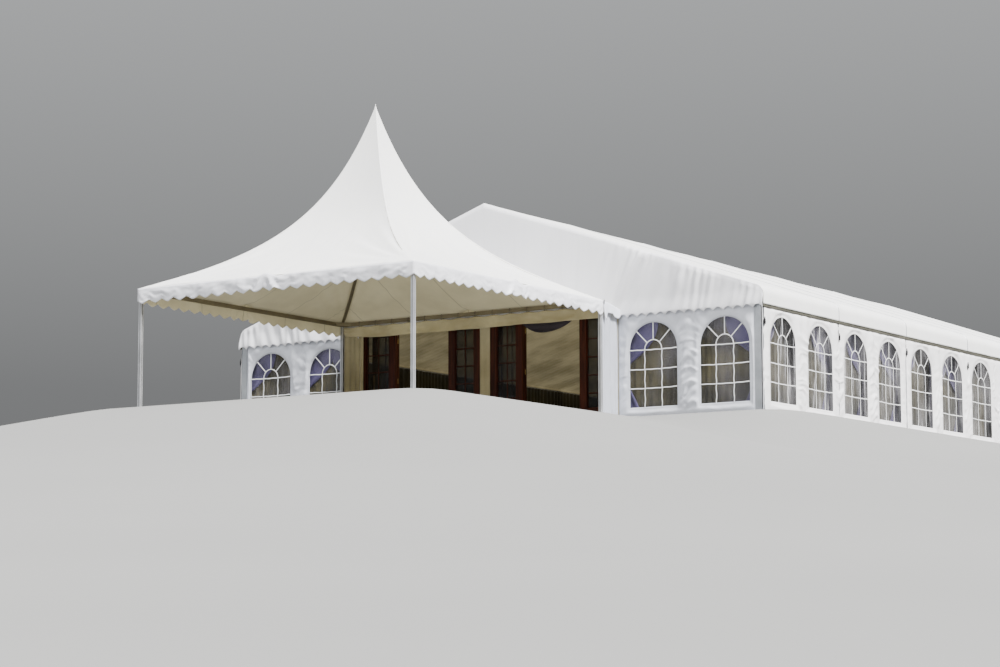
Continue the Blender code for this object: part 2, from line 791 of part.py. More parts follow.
def canopy_ring(materials):
    """Eave beams of the canopy, with a gusset in each corner that carries the hip."""
    near, far = CANOPY_Y - RING_OUT, CANOPY_Y + RING_OUT
    outer = rectangle(-RING_OUT, RING_OUT, near, far)
    side = RING_OUT - RING_WIDTH
    cut = side - RING_CORNER
    inner = [
        (-cut, CANOPY_Y - side),
        (cut, CANOPY_Y - side),
        (side, CANOPY_Y - cut),
        (side, CANOPY_Y + cut),
        (cut, CANOPY_Y + side),
        (-cut, CANOPY_Y + side),
        (-side, CANOPY_Y + cut),
        (-side, CANOPY_Y - cut),
    ]
    name = "canopy_eave_frame"
    return outline_object(name, outer, [inner], RING_BOTTOM, RING_TOP, "z", materials["alloy"])


def hip_stations():
    """Half side and top height along a hip rafter, which lies just under the skin's corner."""
    across = HIP_WIDTH / math.sqrt(8)
    skin = inset_profile(canopy_profile(), SKIN)
    line = [(half_side - across, z - HIP_CLEARANCE) for half_side, z in skin]
    level_end = HUB_RADIUS * HUB_REACH
    foot_end = RING_OUT - RING_WIDTH / 2
    foot_start = foot_end - HIP_FOOT
    between = {x for x, _ in line if level_end < x < foot_end}
    wanted = sorted({level_end, foot_start, foot_end} | between)
    stations = [(x, read_line(line, x)) for x in wanted]
    return [(HUB_RADIUS / 2, stations[0][1]), *stations], foot_start


def read_line(line, x):
    """Height at x on a line of points whose x values rise."""
    for (x0, z0), (x1, z1) in zip(line[:-1], line[1:]):
        if x0 <= x <= x1:
            return z0 + (z1 - z0) * (x - x0) / (x1 - x0)
    return line[-1][1]


def hip_rafter(name, turn, materials):
    """A curved rafter from the eave frame's corner up to the hub."""
    stations, foot_start = hip_stations()
    across = HIP_WIDTH / math.sqrt(8)
    builder = bmesh.new()
    loops = []
    for half_side, top in stations:
        bottom = top - HIP_DEPTH if half_side <= foot_start else RING_TOP + GAP
        points = []
        for offset, z in ((-across, bottom), (across, bottom), (across, top), (-across, top)):
            points.append(Vector((half_side + offset, half_side - offset, z)))
        loops.append([builder.verts.new(turn @ p + Vector((0, CANOPY_Y, 0))) for p in points])
    for first, second in zip(loops[:-1], loops[1:]):
        for a in range(4):
            b = (a + 1) % 4
            builder.faces.new((first[a], first[b], second[b], second[a]))
    builder.faces.new(loops[0])
    builder.faces.new(loops[-1])
    return mesh_object(name, builder, materials["alloy"])


def hub_top_z():
    return canopy_z(CANOPY_TIP) - HIP_CLEARANCE


def canopy_hips(materials):
    """Four hip rafters and the hub that holds up the peak, as one frame."""
    builder = bmesh.new()
    add_cylinder(builder, (0.0, CANOPY_Y), HUB_RADIUS, HUB_BOTTOM_HEIGHT, HUB_NECK_HEIGHT, HUB_SIDES)
    hub = mesh_object("canopy_hip_frame", builder, materials["alloy"])
    pin = bmesh.new()
    overlap = HUB_RADIUS
    bottom = HUB_NECK_HEIGHT - overlap
    add_cylinder(pin, (0.0, CANOPY_Y), HUB_PIN_RADIUS, bottom, hub_top_z(), HUB_SIDES)
    others = [mesh_object("pin", pin, materials["alloy"])]
    for i in range(4):
        turn = Matrix.Rotation(math.pi / 2 * i, 4, "Z")
        others.append(hip_rafter(f"hip_{i}", turn, materials))
    return joined(hub, others)


def canopy_finial(materials):
    """Small cap on the canopy's tip."""
    bottom = canopy_z(CANOPY_TIP) + GAP
    builder = bmesh.new()
    bmesh.ops.create_cone(
        builder,
        cap_ends=True,
        segments=HUB_SIDES,
        radius1=FINIAL_RADIUS,
        radius2=FINIAL_RADIUS / 5,
        depth=FINIAL_HEIGHT,
        matrix=Matrix.Translation((0.0, CANOPY_Y, bottom + FINIAL_HEIGHT / 2)),
    )
    return mesh_object("canopy_finial", builder, materials["alloy"])


def link_gutter(materials):
    """Sagging gutter sheet between the canopy's back hem and the gable."""
    front = -LINK_GAP + GAP
    back = FRONT_FACE - 2 * GAP - SKIN
    top = CANOPY_EAVE_HEIGHT - GUTTER_FLANGE / 2
    width = back - front

    def trough(inset):
        points = [(front + inset, top)]
        for i in range(GUTTER_STEPS + 1):
            share = i / GUTTER_STEPS
            z = top - GUTTER_FLANGE - GUTTER_DEPTH * math.sin(math.pi * share) + inset
            points.append((front + inset + (width - 2 * inset) * share, z))
        points.append((back - inset, top))
        return points

    outline = trough(0.0) + list(reversed(trough(SKIN)))
    edge = RING_OUT
    return outline_object("link_gutter", outline, [], -edge, edge, "x", materials["roof"])


def back_flap(materials):
    """Straight flap laced under the canopy's back beam, one tie at each place."""
    top = RING_BOTTOM - FLAP_TOP_GAP
    bottom = top - FLAP_DEPTH
    half = RING_OUT - LEG_INSET - LEG_SIZE - SEAM_GAP
    tie_top = RING_BOTTOM - GAP
    outline = [(-half, bottom), (half, bottom), (half, top)]
    step = 2 * half / FLAP_TIES
    for i in reversed(range(FLAP_TIES)):
        middle = -half + step * (i + 0.5)
        outline += [
            (middle + FLAP_TIE_WIDTH / 2, top),
            (middle + FLAP_TIE_WIDTH / 2, tie_top),
            (middle - FLAP_TIE_WIDTH / 2, tie_top),
            (middle - FLAP_TIE_WIDTH / 2, top),
        ]
    outline.append((-half, top))
    centre = CANOPY_Y + RING_OUT - RING_WIDTH / 2
    near, far = centre - SKIN / 2, centre + SKIN / 2
    return outline_object("back_flap", outline, [], near, far, "y", materials["lining"])


# Assembly


def build_frame(materials):
    for number in range(BAYS + 1):
        portal(number + 1, number * BAY_LENGTH, materials)
    eave_rail("eave_rail_left", -1, materials)
    eave_rail("eave_rail_right", 1, materials)
    ridge_purlin(materials)
    gable_frame("gable_frame_front", 1, FRONT_FACE, materials)
    gable_frame("gable_frame_back", -1, BACK_FACE, materials)


def build_sides(materials):
    for label, side in (("left", -1), ("right", 1)):
        panels = math.ceil(BAYS / BAYS_A_PANEL)
        for number in range(panels):
            first = number * BAYS_A_PANEL
            bays = min(BAYS_A_PANEL, BAYS - first)
            side_wall(f"side_wall_{label}_{number + 1}", side, first, bays, materials)
        side_windows(f"side_windows_{label}", side, materials)
        side_curtains(f"side_curtains_{label}", side, materials)


def build_gables(materials):
    edge = LEG_IN - GAP
    for label, side in (("left", -1), ("right", 1)):
        ends = sorted((side * GABLE_BAY, side * edge))
        start = min(side * GABLE_BAY, side * LEG_OUT)
        centres = window_centres(start, GABLE_BAY, 1)
        gable_wall(f"front_wall_{label}", ends[0], ends[1], centres, 1, FRONT_FACE, materials)
        gable_windows(f"front_windows_{label}", centres, 1, FRONT_FACE, materials)
        name = f"front_curtains_{label}"
        ends = sorted((side * GABLE_BAY, side * (LEG_IN - CURTAIN_END_GAP)))
        gable_curtains(name, ends[0], ends[1], 1, FRONT_FACE, materials)
    front_wall_centre(materials)
    centres = window_centres(-SPAN_WIDTH / 2, GABLE_BAY, GABLE_BAYS)
    gable_wall("back_wall", -edge, edge, centres, -1, BACK_FACE, materials)
    gable_windows("back_windows", centres, -1, BACK_FACE, materials)
    edge = LEG_IN - CURTAIN_END_GAP
    gable_curtains("back_curtains", -edge, edge, -1, BACK_FACE, materials)
    gable_sheet("gable_sheet_front", -1, FRONT_FACE, materials)
    gable_sheet("gable_sheet_back", 1, BACK_FACE, materials)


def build_doors(materials):
    for label, centre in zip(("left", "right"), door_centres()):
        door_set(f"door_set_{label}", centre, materials)
        for leaf_label, side in (("left", -1), ("right", 1)):
            door_leaf(f"door_leaf_{label}_{leaf_label}", centre, side, materials)


def build_canopy(materials):
    canopy_roof(materials)
    for label, side_x, side_y in (
        ("front_left", -1, -1),
        ("front_right", 1, -1),
        ("back_left", -1, 1),
        ("back_right", 1, 1),
    ):
        canopy_leg(f"canopy_leg_{label}", side_x, side_y, materials)
    canopy_ring(materials)
    canopy_hips(materials)
    canopy_finial(materials)
    link_gutter(materials)
    back_flap(materials)


def main():
    clear_scene()
    materials = make_materials()
    build_frame(materials)
    for number in range(BAYS):
        roof_sheet(number + 1, materials)
    build_sides(materials)
    build_gables(materials)
    build_doors(materials)
    roof_lining(materials)
    build_canopy(materials)


main()
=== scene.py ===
"""Looks of a 12 m frame marquee with a 6 m peaked canopy over its entrance.

Metres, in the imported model's frame: X along the front gable, +Y back, +Z up.
"""

import json
import math

import bmesh
import bpy
import numpy as np
from mathutils import Euler, Matrix, Vector, noise


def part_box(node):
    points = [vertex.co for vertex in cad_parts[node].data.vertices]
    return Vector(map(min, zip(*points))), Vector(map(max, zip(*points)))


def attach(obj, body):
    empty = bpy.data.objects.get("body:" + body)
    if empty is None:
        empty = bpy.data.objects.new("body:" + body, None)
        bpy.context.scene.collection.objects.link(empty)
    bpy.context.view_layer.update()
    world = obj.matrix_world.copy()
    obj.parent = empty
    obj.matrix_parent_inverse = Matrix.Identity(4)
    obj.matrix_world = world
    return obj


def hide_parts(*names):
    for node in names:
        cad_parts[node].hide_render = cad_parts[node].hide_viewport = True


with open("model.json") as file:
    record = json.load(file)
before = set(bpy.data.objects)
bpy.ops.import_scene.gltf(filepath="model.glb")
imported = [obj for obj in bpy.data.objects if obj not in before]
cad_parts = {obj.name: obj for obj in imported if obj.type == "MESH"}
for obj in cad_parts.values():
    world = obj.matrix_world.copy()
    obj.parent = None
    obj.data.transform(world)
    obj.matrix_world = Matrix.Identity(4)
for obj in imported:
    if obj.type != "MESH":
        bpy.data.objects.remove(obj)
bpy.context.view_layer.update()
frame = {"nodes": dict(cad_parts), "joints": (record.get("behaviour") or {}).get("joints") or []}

# Where the photograph was taken from: metres, degrees and millimetres
CAMERA_PLACE = (27.52, -41.03, -4.23)
CAMERA_HEADING = 33.53
CAMERA_PITCH = 6.966
CAMERA_ROLL = -0.124
CAMERA_LENS = 93.6
SENSOR_WIDTH = 36.0
FAR_END = 1000.0

# Sizes read from the frame
BAYS = sum(name.startswith("roof_sheet_") for name in frame["nodes"])
PORTALS = sum(name.startswith("portal_frame_") for name in frame["nodes"])
ROOF_LOW, ROOF_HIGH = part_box("roof_sheet_1")
ROOF_OUT = ROOF_HIGH.x
ROOF_HEM_Z = ROOF_LOW.z
RIDGE_Z = ROOF_HIGH.z
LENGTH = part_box(f"portal_frame_{PORTALS}")[1].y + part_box("portal_frame_1")[0].y
BAY = LENGTH / BAYS
LEG_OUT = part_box("portal_frame_1")[1].x
GABLE_BAY = LEG_OUT / 2
WALL_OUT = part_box("side_wall_right_1")[1].x
SIDE_FILM_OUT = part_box("side_windows_right")[1].x
GABLE_WALL_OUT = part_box("front_wall_right")[0].y
GABLE_FILM_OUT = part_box("front_windows_right")[0].y
GABLE_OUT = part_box("gable_sheet_front")[0].y
CANOPY_LOW, CANOPY_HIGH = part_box("canopy_roof")
CANOPY_HALF = CANOPY_HIGH.x
CANOPY_Y = (CANOPY_LOW.y + CANOPY_HIGH.y) / 2
CANOPY_HEM_Z = CANOPY_LOW.z
RING_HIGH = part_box("canopy_eave_frame")[1]
DOOR_LOW, DOOR_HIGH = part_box("door_set_right")
SIDES = (("left", -1), ("right", 1))
JOINTS = {joint["child"]: joint["pos_m"] for joint in frame["joints"]}

# Sizes the solids share but don't show
EAVE_Z = 2.25
KNEE_RADIUS = 0.20
WINDOW_WIDTH = 1.0
WINDOW_SILL = 0.20
SPRINGING_Z = 1.255
ARCH_RADIUS = WINDOW_WIDTH / 2
WINDOW_STEP = BAY / 2
GABLE_WINDOW_STEP = GABLE_BAY / 2
GABLE_VALANCE_Z = 1.93
GABLE_SCALLOPS = 60
GABLE_SCALLOP_DEPTH = 0.060
CANOPY_EAVE_Z = 2.15
CANOPY_SLOPE_RISE = 1.14
CANOPY_PEAK_RISE = 2.36
CANOPY_PEAK_RATE = 4.2
CANOPY_TIP = 0.018
CANOPY_SCALLOPS = 21
CANOPY_SCALLOP_DEPTH = 0.065
CANOPY_HEM_DEPTH = 0.07
DOORWAY_WIDTH = 1.27
DOOR_POST = 0.07
DOOR_STILE = 0.08
DOOR_HEAD = 0.07
LIGHT_SILL = 0.25
LIGHT_HEAD = 0.03
LEAF_STILE = 0.095
LEAF_GAP = 0.005
LEAF_THICKNESS = 0.04
HINGE_RADIUS = 0.010
HINGE_PLATE = 0.045
RING_WIDTH = 0.06

# Cloth
PVC_THICKNESS = 0.003
CLOTH_THICKNESS = 0.0015
FILM_THICKNESS = 0.0012
SEED = 11

PITCH = math.atan2(RIDGE_Z - EAVE_Z, ROOF_OUT)
MIDDLE = Vector((0.0, LENGTH / 2, 1.2))
CANOPY_MIDDLE = Vector((0.0, CANOPY_Y, 1.5))


# Shader sums


class Value:
    """A socket of a material's nodes. Arithmetic with it on either side adds Math nodes."""

    def __init__(self, finish, socket):
        self.finish = finish
        self.socket = socket

    def __add__(self, other):
        return self.finish.maths("ADD", self, other)

    def __radd__(self, other):
        return self.finish.maths("ADD", other, self)

    def __sub__(self, other):
        return self.finish.maths("SUBTRACT", self, other)

    def __rsub__(self, other):
        return self.finish.maths("SUBTRACT", other, self)

    def __mul__(self, other):
        return self.finish.maths("MULTIPLY", self, other)

    def __rmul__(self, other):
        return self.finish.maths("MULTIPLY", other, self)

    def __truediv__(self, other):
        return self.finish.maths("DIVIDE", self, other)

    def __rtruediv__(self, other):
        return self.finish.maths("DIVIDE", other, self)

    def __abs__(self):
        return self.finish.maths("ABSOLUTE", self)


class Finish:
    """A procedural material on its way."""

    def __init__(self, name, roughness=0.5, **uniform):
        self.material = bpy.data.materials.new(name)
        self.material.use_nodes = True
        self.tree = self.material.node_tree
        self.shader = self.tree.nodes["Principled BSDF"]
        self.shader.inputs["Roughness"].default_value = roughness
        for key, value in uniform.items():
            self.shader.inputs[key.replace("_", " ").title()].default_value = value

    def node(self, kind, inputs=None, settings=None, out=0):
        """A node of this kind: its settings first, then its sockets' values or links."""
        made = self.tree.nodes.new(kind)
        for name, value in (settings or {}).items():
            if name == "stops":
                self.set_stops(made.color_ramp, value)
            else:
                setattr(made, name, value)
        for key, value in (inputs or {}).items():
            if isinstance(value, Value):
                self.tree.links.new(value.socket, made.inputs[key])
            else:
                made.inputs[key].default_value = value
        return Value(self, made.outputs[out])

    @staticmethod
    def set_stops(ramp, stops):
        while len(ramp.elements) < len(stops):
            ramp.elements.new(0.5)
        for element, (place, shade) in zip(ramp.elements, stops):
            element.position = place
            element.color = (*shade, 1.0) if isinstance(shade, tuple) else (shade, shade, shade, 1.0)

    def maths(self, operation, *values):
        return self.node("ShaderNodeMath", dict(enumerate(values)), {"operation": operation})

    def mix(self, share, first, second):
        first = first if isinstance(first, Value) else (*first, 1.0)
        second = second if isinstance(second, Value) else (*second, 1.0)
        settings = {"data_type": "RGBA", "clamp_factor": True}
        return self.node("ShaderNodeMix", {0: share, 6: first, 7: second}, settings, 2)

    def place(self, scale=(1.0, 1.0, 1.0)):
        """The point on the object, stretched by this scale."""
        point = self.node("ShaderNodeTexCoord", out=3)
        return self.node("ShaderNodeMapping", {0: point, 3: scale})

    def cut(self, scale=(1.0, 1.0, 1.0)):
        """The point on the flat cloth in metres, stretched by this scale."""
        point = self.node("ShaderNodeUVMap", settings={"uv_map": "cloth"})
        return self.node("ShaderNodeMapping", {0: point, 3: scale})

    def parts(self, vector):
        made = self.tree.nodes.new("ShaderNodeSeparateXYZ")
        self.tree.links.new(vector.socket, made.inputs[0])
        return [Value(self, socket) for socket in made.outputs]

    def noise(self, vector, scale, detail=3.0, roughness=0.55):
        sockets = {"Vector": vector, "Scale": scale, "Detail": detail, "Roughness": roughness}
        return self.node("ShaderNodeTexNoise", sockets)

    def between(self, value, low, high, from_low=0.0, from_high=1.0):
        """The value, spread smoothly from one range to another."""
        sockets = {0: value, 1: from_low, 2: from_high, 3: low, 4: high}
        return self.node("ShaderNodeMapRange", sockets, {"interpolation_type": "SMOOTHSTEP"})

    def bump(self, height, distance, strength):
        return self.node("ShaderNodeBump", {"Height": height, "Distance": distance, "Strength": strength})

    def done(self, **links):
        for key, value in links.items():
            socket = self.shader.inputs[key.replace("_", " ").title()]
            self.tree.links.new(value.socket, socket)
        return self.material


def line_at(finish, value, width):
    """One on the lines where the value is whole, fading to nought at half the width from them."""
    away = abs(finish.maths("FRACT", value + 0.5) - 0.5)
    return finish.between(away, 1.0, 0.0, 0.0, width / 2)


def tinted(colour, share):
    return tuple(part * share for part in colour)


# Finishes of the cloth


def woven_pvc(name, colour, seam_step=2.46, lap_tone=0.70, streak_darkening=0.28):
    """Coated PVC: a fine woven base, soft dirt and darker streaks, welded laps and light creases."""
    finish = Finish(name, 0.42, sheen_weight=0.0, coat_weight=0.06, coat_roughness=0.35)
    along, up, _ = finish.parts(finish.cut())
    soft = finish.noise(finish.place(), 0.55, 4.0, 0.6)
    fine = finish.noise(finish.place(), 9.0, 5.0, 0.62)
    streaks = finish.noise(finish.cut((6.0, 0.5, 1.0)), 1.0, 4.0, 0.6)
    weld = line_at(finish, along / seam_step, 0.030 / seam_step)
    lap = line_at(finish, along / seam_step, 0.004 / seam_step)
    clean = finish.mix(finish.between(soft, 0.0, 1.0, 0.3, 0.7), tinted(colour, 0.95), colour)
    darker_streaks = finish.mix(finish.between(streaks, 0.0, streak_darkening, 0.50, 0.80), clean, tinted(colour, 0.74))
    shade = finish.mix(weld * 0.35, darker_streaks, tinted(colour, 0.90))
    shade = finish.mix(lap * 0.5, shade, tinted(colour, lap_tone))
    threads = finish.maths("SINE", along * 2100.0) * finish.maths("SINE", up * 2100.0)
    height = fine * 0.5 + threads * 0.03 + weld * 0.15
    gloss = finish.between(fine, 0.36, 0.52)
    return finish.done(base_color=shade, roughness=gloss, normal=finish.bump(height, 0.004, 0.5))


def lining_cloth(name, colour, dark, weld_step=0.0, glow=0.0):
    """Matte woven cloth, with soft patches of painted shade that mix its colour with a darker copy of it, and
    welds if it has any.

    Painted glow: thin cloth that has daylight behind it is given a little emission in its own colour.
    """
    finish = Finish(name, 0.85, sheen_weight=0.15, sheen_roughness=0.5, emission_strength=glow)
    along, up, _ = finish.parts(finish.cut())
    slub = finish.noise(finish.cut((240.0, 14.0, 1.0)), 1.0, 3.0, 0.6)
    soft = finish.noise(finish.place(), 1.3, 4.0, 0.55)
    # painted shade: soft noise patches mix the colour with its darker copy, for light and shade from fold to
    # fold
    shade = finish.mix(finish.between(soft, 0.0, 1.0, 0.3, 0.72), dark, colour)
    shade = finish.mix(finish.between(slub, 0.0, 0.22), shade, dark)
    if weld_step:
        weld = line_at(finish, along / weld_step, 0.035 / weld_step)
        shade = finish.mix(weld * 0.75, shade, tinted(dark, 0.55))
    threads = finish.maths("SINE", along * 3100.0) * finish.maths("SINE", up * 3100.0)
    # painted glow: emission in the cloth's own colour
    if glow:
        finish.done(emission_color=shade)
    return finish.done(
        base_color=shade,
        roughness=finish.between(slub, 0.78, 0.92),
        normal=finish.bump(slub * 0.6 + threads * 0.08, 0.002, 0.5),
    )


def clear_film(name, reflection_streaks=0.0):
    """Clear window sheet, hazy and milky, partly clouding with age and partly painted reflection of the sky;
    on the side windows its white streaks are painted reflection.
    """
    finish = Finish(name, 0.08)
    haze = finish.noise(finish.place((1.0, 1.0, 0.6)), 1.6, 4.0, 0.6)
    ripple = finish.noise(finish.place((1.0, 1.0, 0.4)), 3.2, 2.0, 0.5)
    wipes = finish.noise(finish.place((3.0, 3.0, 18.0)), 1.0, 4.0, 0.7)
    streaks = finish.noise(finish.place((11.0, 11.0, 0.9)), 1.0, 3.0, 0.55)
    milky_reflection = (0.46 + 0.24 * reflection_streaks, 0.45 + 0.24 * reflection_streaks, 0.52 + 0.20 * reflection_streaks)
    shade = finish.mix(finish.between(haze, 0.0, 1.0, 0.35, 0.65), (0.28, 0.28, 0.30), milky_reflection)
    alpha = finish.between(haze, 0.02, 0.07, 0.35, 0.7) + finish.between(wipes, 0.0, 0.04, 0.5, 0.8)
    # painted reflection: whiter, more opaque streaks where the sky is reflected
    alpha = alpha + finish.between(streaks, 0.0, 0.42 * reflection_streaks, 0.55, 0.72)
    return finish.done(
        base_color=shade,
        alpha=alpha,
        roughness=finish.between(wipes, 0.05, 0.16),
        normal=finish.bump(ripple, 0.02, 0.5),
    )


def printed_bars(name):
    """White print, worn a little."""
    finish = Finish(name, 0.4)
    wear = finish.noise(finish.place(), 12.0, 4.0, 0.6)
    shade = finish.mix(finish.between(wear, 0.0, 1.0, 0.35, 0.7), (0.70, 0.71, 0.72), (0.84, 0.84, 0.83))
    return finish.done(base_color=shade, roughness=finish.between(wear, 0.32, 0.5))


# Finishes of the frame and doors


def drawn_metal(name, colour, dark, metallic, roughness, along=(1.0, 1.0, 30.0)):
    """Extruded aluminium: drawn lines along the profile, dulled patches and handling marks."""
    finish = Finish(name, roughness, metallic=metallic)
    cloudy = finish.noise(finish.place(), 1.7, 5.0, 0.6)
    drawn = finish.noise(finish.place(along), 22.0, 3.0, 0.6)
    marks = finish.noise(finish.place((9.0, 9.0, 3.0)), 3.0, 5.0, 0.7)
    shade = finish.mix(finish.between(cloudy, 0.0, 1.0, 0.3, 0.7), dark, colour)
    shade = finish.mix(finish.between(marks, 0.0, 0.45, 0.62, 0.78), shade, dark)
    return finish.done(
        base_color=shade,
        roughness=finish.between(cloudy, roughness - 0.06, roughness + 0.14),
        normal=finish.bump(drawn, 0.0006, 0.35),
    )


def mahogany(name):
    """Varnished mahogany with its grain up the posts."""
    finish = Finish(name, 0.42, coat_weight=0.05, coat_roughness=0.3)
    finish.shader.inputs["Specular IOR Level"].default_value = 0.18
    grain = finish.noise(finish.place((34.0, 34.0, 1.6)), 1.0, 5.0, 0.65)
    figure = finish.noise(finish.place((3.0, 3.0, 0.35)), 1.4, 3.0, 0.5)
    pores = finish.noise(finish.place((260.0, 260.0, 9.0)), 1.0, 2.0, 0.5)
    shade = finish.between(grain, 0.0, 1.0, 0.35, 0.7)
    shade = finish.mix(shade, (0.026, 0.006, 0.003), (0.110, 0.025, 0.010))
    shade = finish.mix(finish.between(figure, 0.0, 0.5, 0.4, 0.7), shade, (0.065, 0.014, 0.009))
    shade = finish.mix(finish.between(pores, 0.0, 0.5, 0.6, 0.75), shade, (0.030, 0.008, 0.006))
    return finish.done(
        base_color=shade,
        roughness=finish.between(grain, 0.36, 0.52),
        normal=finish.bump(grain * 0.6 + pores * 0.4, 0.0006, 0.4),
    )


def door_glass(name):
    """Dark glazing with a faint film of dust and old wipes."""
    finish = Finish(name, 0.06)
    dust = finish.noise(finish.place(), 2.2, 4.0, 0.6)
    wipes = finish.noise(finish.place((14.0, 14.0, 3.0)), 1.0, 3.0, 0.6)
    shade = finish.mix(finish.between(dust, 0.0, 1.0, 0.35, 0.7), (0.020, 0.020, 0.022), (0.06, 0.06, 0.06))
    return finish.done(
        base_color=shade,
        alpha=finish.between(dust, 0.34, 0.52, 0.35, 0.7),
        roughness=finish.between(wipes, 0.04, 0.14),
    )


def pale_ground(name):
    """Plain matte floor with a faint change of shade."""
    finish = Finish(name, 0.85)
    soft = finish.noise(finish.place(), 0.12, 3.0, 0.5)
    fine = finish.noise(finish.place(), 6.0, 4.0, 0.6)
    shade = finish.mix(soft, (0.19, 0.19, 0.187), (0.225, 0.225, 0.22))
    return finish.done(base_color=shade, normal=finish.bump(fine, 0.01, 0.12))


FINISHES = {
    "roof": woven_pvc("roof_pvc", (0.89, 0.89, 0.88), 3.0),
    # painted shade: the gables' white PVC in a darker, bluer tone than the roof's, for the shade on these
    # upright faces
    "gable": woven_pvc("gable_pvc_painted_shade", (0.80, 0.80, 0.83), 3.0),
    # painted shade: the gable walls' white PVC in a darker, bluer tone than the side walls, for the shade on
    # them
    "front_wall": woven_pvc("front_wall_pvc_painted_shade", (0.64, 0.66, 0.72), 3.0),
    "side_wall": woven_pvc("side_wall_pvc", (0.85, 0.84, 0.85), 3.0),
    "canopy": woven_pvc("canopy_pvc", (0.88, 0.88, 0.87), 2.46, lap_tone=0.92),
    # painted shade: the link panels' white PVC in a dark blue-grey, for the shade under the canopy
    "link": woven_pvc("link_pvc_painted_shade", (0.44, 0.46, 0.52), 3.0),
    # painted shade: the canopy's white valance in a darker blue-grey than its roof, with strong darker
    # streaks
    "valance": woven_pvc("valance_pvc_painted_shade", (0.74, 0.745, 0.79), 6.0, streak_darkening=0.85),
    # painted shade and glow: the white canopy's underside in a dim khaki tone with a little emission, for the
    # shade and warm light under it
    "under": lining_cloth("canopy_underside_painted_shade_and_glow", (0.58, 0.525, 0.34), (0.48, 0.43, 0.27), 1.23, 0.30),
    # painted glow: a little emission; this khaki also serves as painted shade on the wall strips by the doors
    # and inside the link panels
    "flap": lining_cloth("khaki_flap_painted_shade_and_glow", (0.56, 0.50, 0.30), (0.36, 0.31, 0.18), 0.0, 0.12),
    "film": clear_film("window_film"),
    # painted reflection: the side windows' film has white streaks
    "side_film": clear_film("side_window_film", 1.0),
    "bars": printed_bars("window_bars"),
    # painted shade and glow: the ivory lining darkened to khaki for the dim inside, with a little emission
    "lining": lining_cloth("ivory_lining", (0.52, 0.455, 0.275), (0.28, 0.24, 0.135), 0.0, 0.26),
    "curtain": lining_cloth("khaki_curtain", (0.082, 0.069, 0.024), (0.014, 0.012, 0.004)),
    "swag": lining_cloth("lavender_voile", (0.105, 0.086, 0.215), (0.030, 0.024, 0.070)),
    "side_curtain": lining_cloth("khaki_side_curtain", (0.050, 0.042, 0.018), (0.010, 0.009, 0.004)),
    "side_swag": lining_cloth("lavender_side_voile", (0.075, 0.061, 0.145), (0.020, 0.016, 0.046)),
    "drape": lining_cloth("plum_drape", (0.055, 0.042, 0.050), (0.028, 0.020, 0.026)),
    "alloy": drawn_metal("mill_aluminium", (0.50, 0.52, 0.55), (0.36, 0.38, 0.41), 0.75, 0.42),
    "post": drawn_metal("canopy_post", (0.62, 0.63, 0.65), (0.46, 0.47, 0.49), 0.6, 0.40),
    # painted shade: the canopy's aluminium ring and hips in dark khaki, for the shade and khaki light under
    # the canopy
    "khaki_shaded_alloy": drawn_metal(
        "alloy_painted_khaki_shade", (0.22, 0.19, 0.115), (0.145, 0.12, 0.072), 0.2, 0.5, (6.0, 6.0, 1.0)
    ),
    # painted shadow: the eave rail in dark olive, for the shadow line under the roof's fascia
    "rail": drawn_metal(
        "olive_rail", (0.110, 0.105, 0.080), (0.060, 0.058, 0.045), 0.2, 0.5, (30.0, 1.0, 1.0)
    ),
    # painted shade: dark strips for the shade in the legs' keder grooves
    "groove": drawn_metal("leg_groove", (0.16, 0.16, 0.17), (0.08, 0.08, 0.085), 0.5, 0.5),
    "steel": drawn_metal("black_steel", (0.055, 0.055, 0.060), (0.022, 0.022, 0.024), 0.7, 0.42),
    "glass": door_glass("door_glass"),
    "cord": lining_cloth("black_cord", (0.035, 0.033, 0.030), (0.015, 0.015, 0.015)),
    "brass": drawn_metal("door_brass", (0.55, 0.38, 0.13), (0.33, 0.22, 0.08), 1.0, 0.3),
    "wood": mahogany("mahogany"),
    "ground": pale_ground("pale_floor"),
}


# Building blocks


def cloth_mesh(name, points, faces, places, middle):
    """Four-sided faces, turned away from a point, with places on the flat cloth in metres as UV map."""
    corners = points[faces]
    across = np.cross(corners[:, 2] - corners[:, 0], corners[:, 3] - corners[:, 1])
    away = corners.mean(axis=1) - np.array(middle)
    if float((across * away).sum()) < 0:
        faces, places = faces[:, ::-1], places[:, ::-1]
    mesh = bpy.data.meshes.new(name)
    mesh.from_pydata(points.tolist(), [], faces.tolist())
    layer = mesh.uv_layers.new(name="cloth")
    layer.data.foreach_set("uv", np.ascontiguousarray(places, dtype=np.float32).ravel())
    return mesh


def grid(rows, columns, spot):
    """A sheet's points and their places on the flat cloth, from what spot says of each row and column."""
    spots = [[spot(i, j) for j in range(columns + 1)] for i in range(rows + 1)]
    points = np.array([[tuple(point) for point, _ in row] for row in spots])
    return points, np.array([[place for _, place in row] for row in spots])


def sheet_piece(
    name, points, cut, finish, middle=MIDDLE, closed=False, thickness=PVC_THICKNESS, inside=None
):
    """A sheet from a grid of points and their places on the flat cloth."""
    rows, columns = points.shape[:2]
    index = np.arange(rows * columns).reshape(rows, columns)
    if closed:
        index = np.hstack([index, index[:, :1]])
    corners = [np.s_[:-1, :-1], np.s_[:-1, 1:], np.s_[1:, 1:], np.s_[1:, :-1]]
    faces = np.stack([index[corner].ravel() for corner in corners], axis=1)
    places = np.stack([cut[corner].reshape(-1, 2) for corner in corners], axis=1)
    mesh = cloth_mesh(name, points.reshape(-1, 3), faces, places, middle)
    return finished_piece(name, mesh, finish, thickness, inside)


def linked(name, data):
    """A new object in the scene."""
    made = bpy.data.objects.new(name, data)
    bpy.context.scene.collection.objects.link(made)
    return made


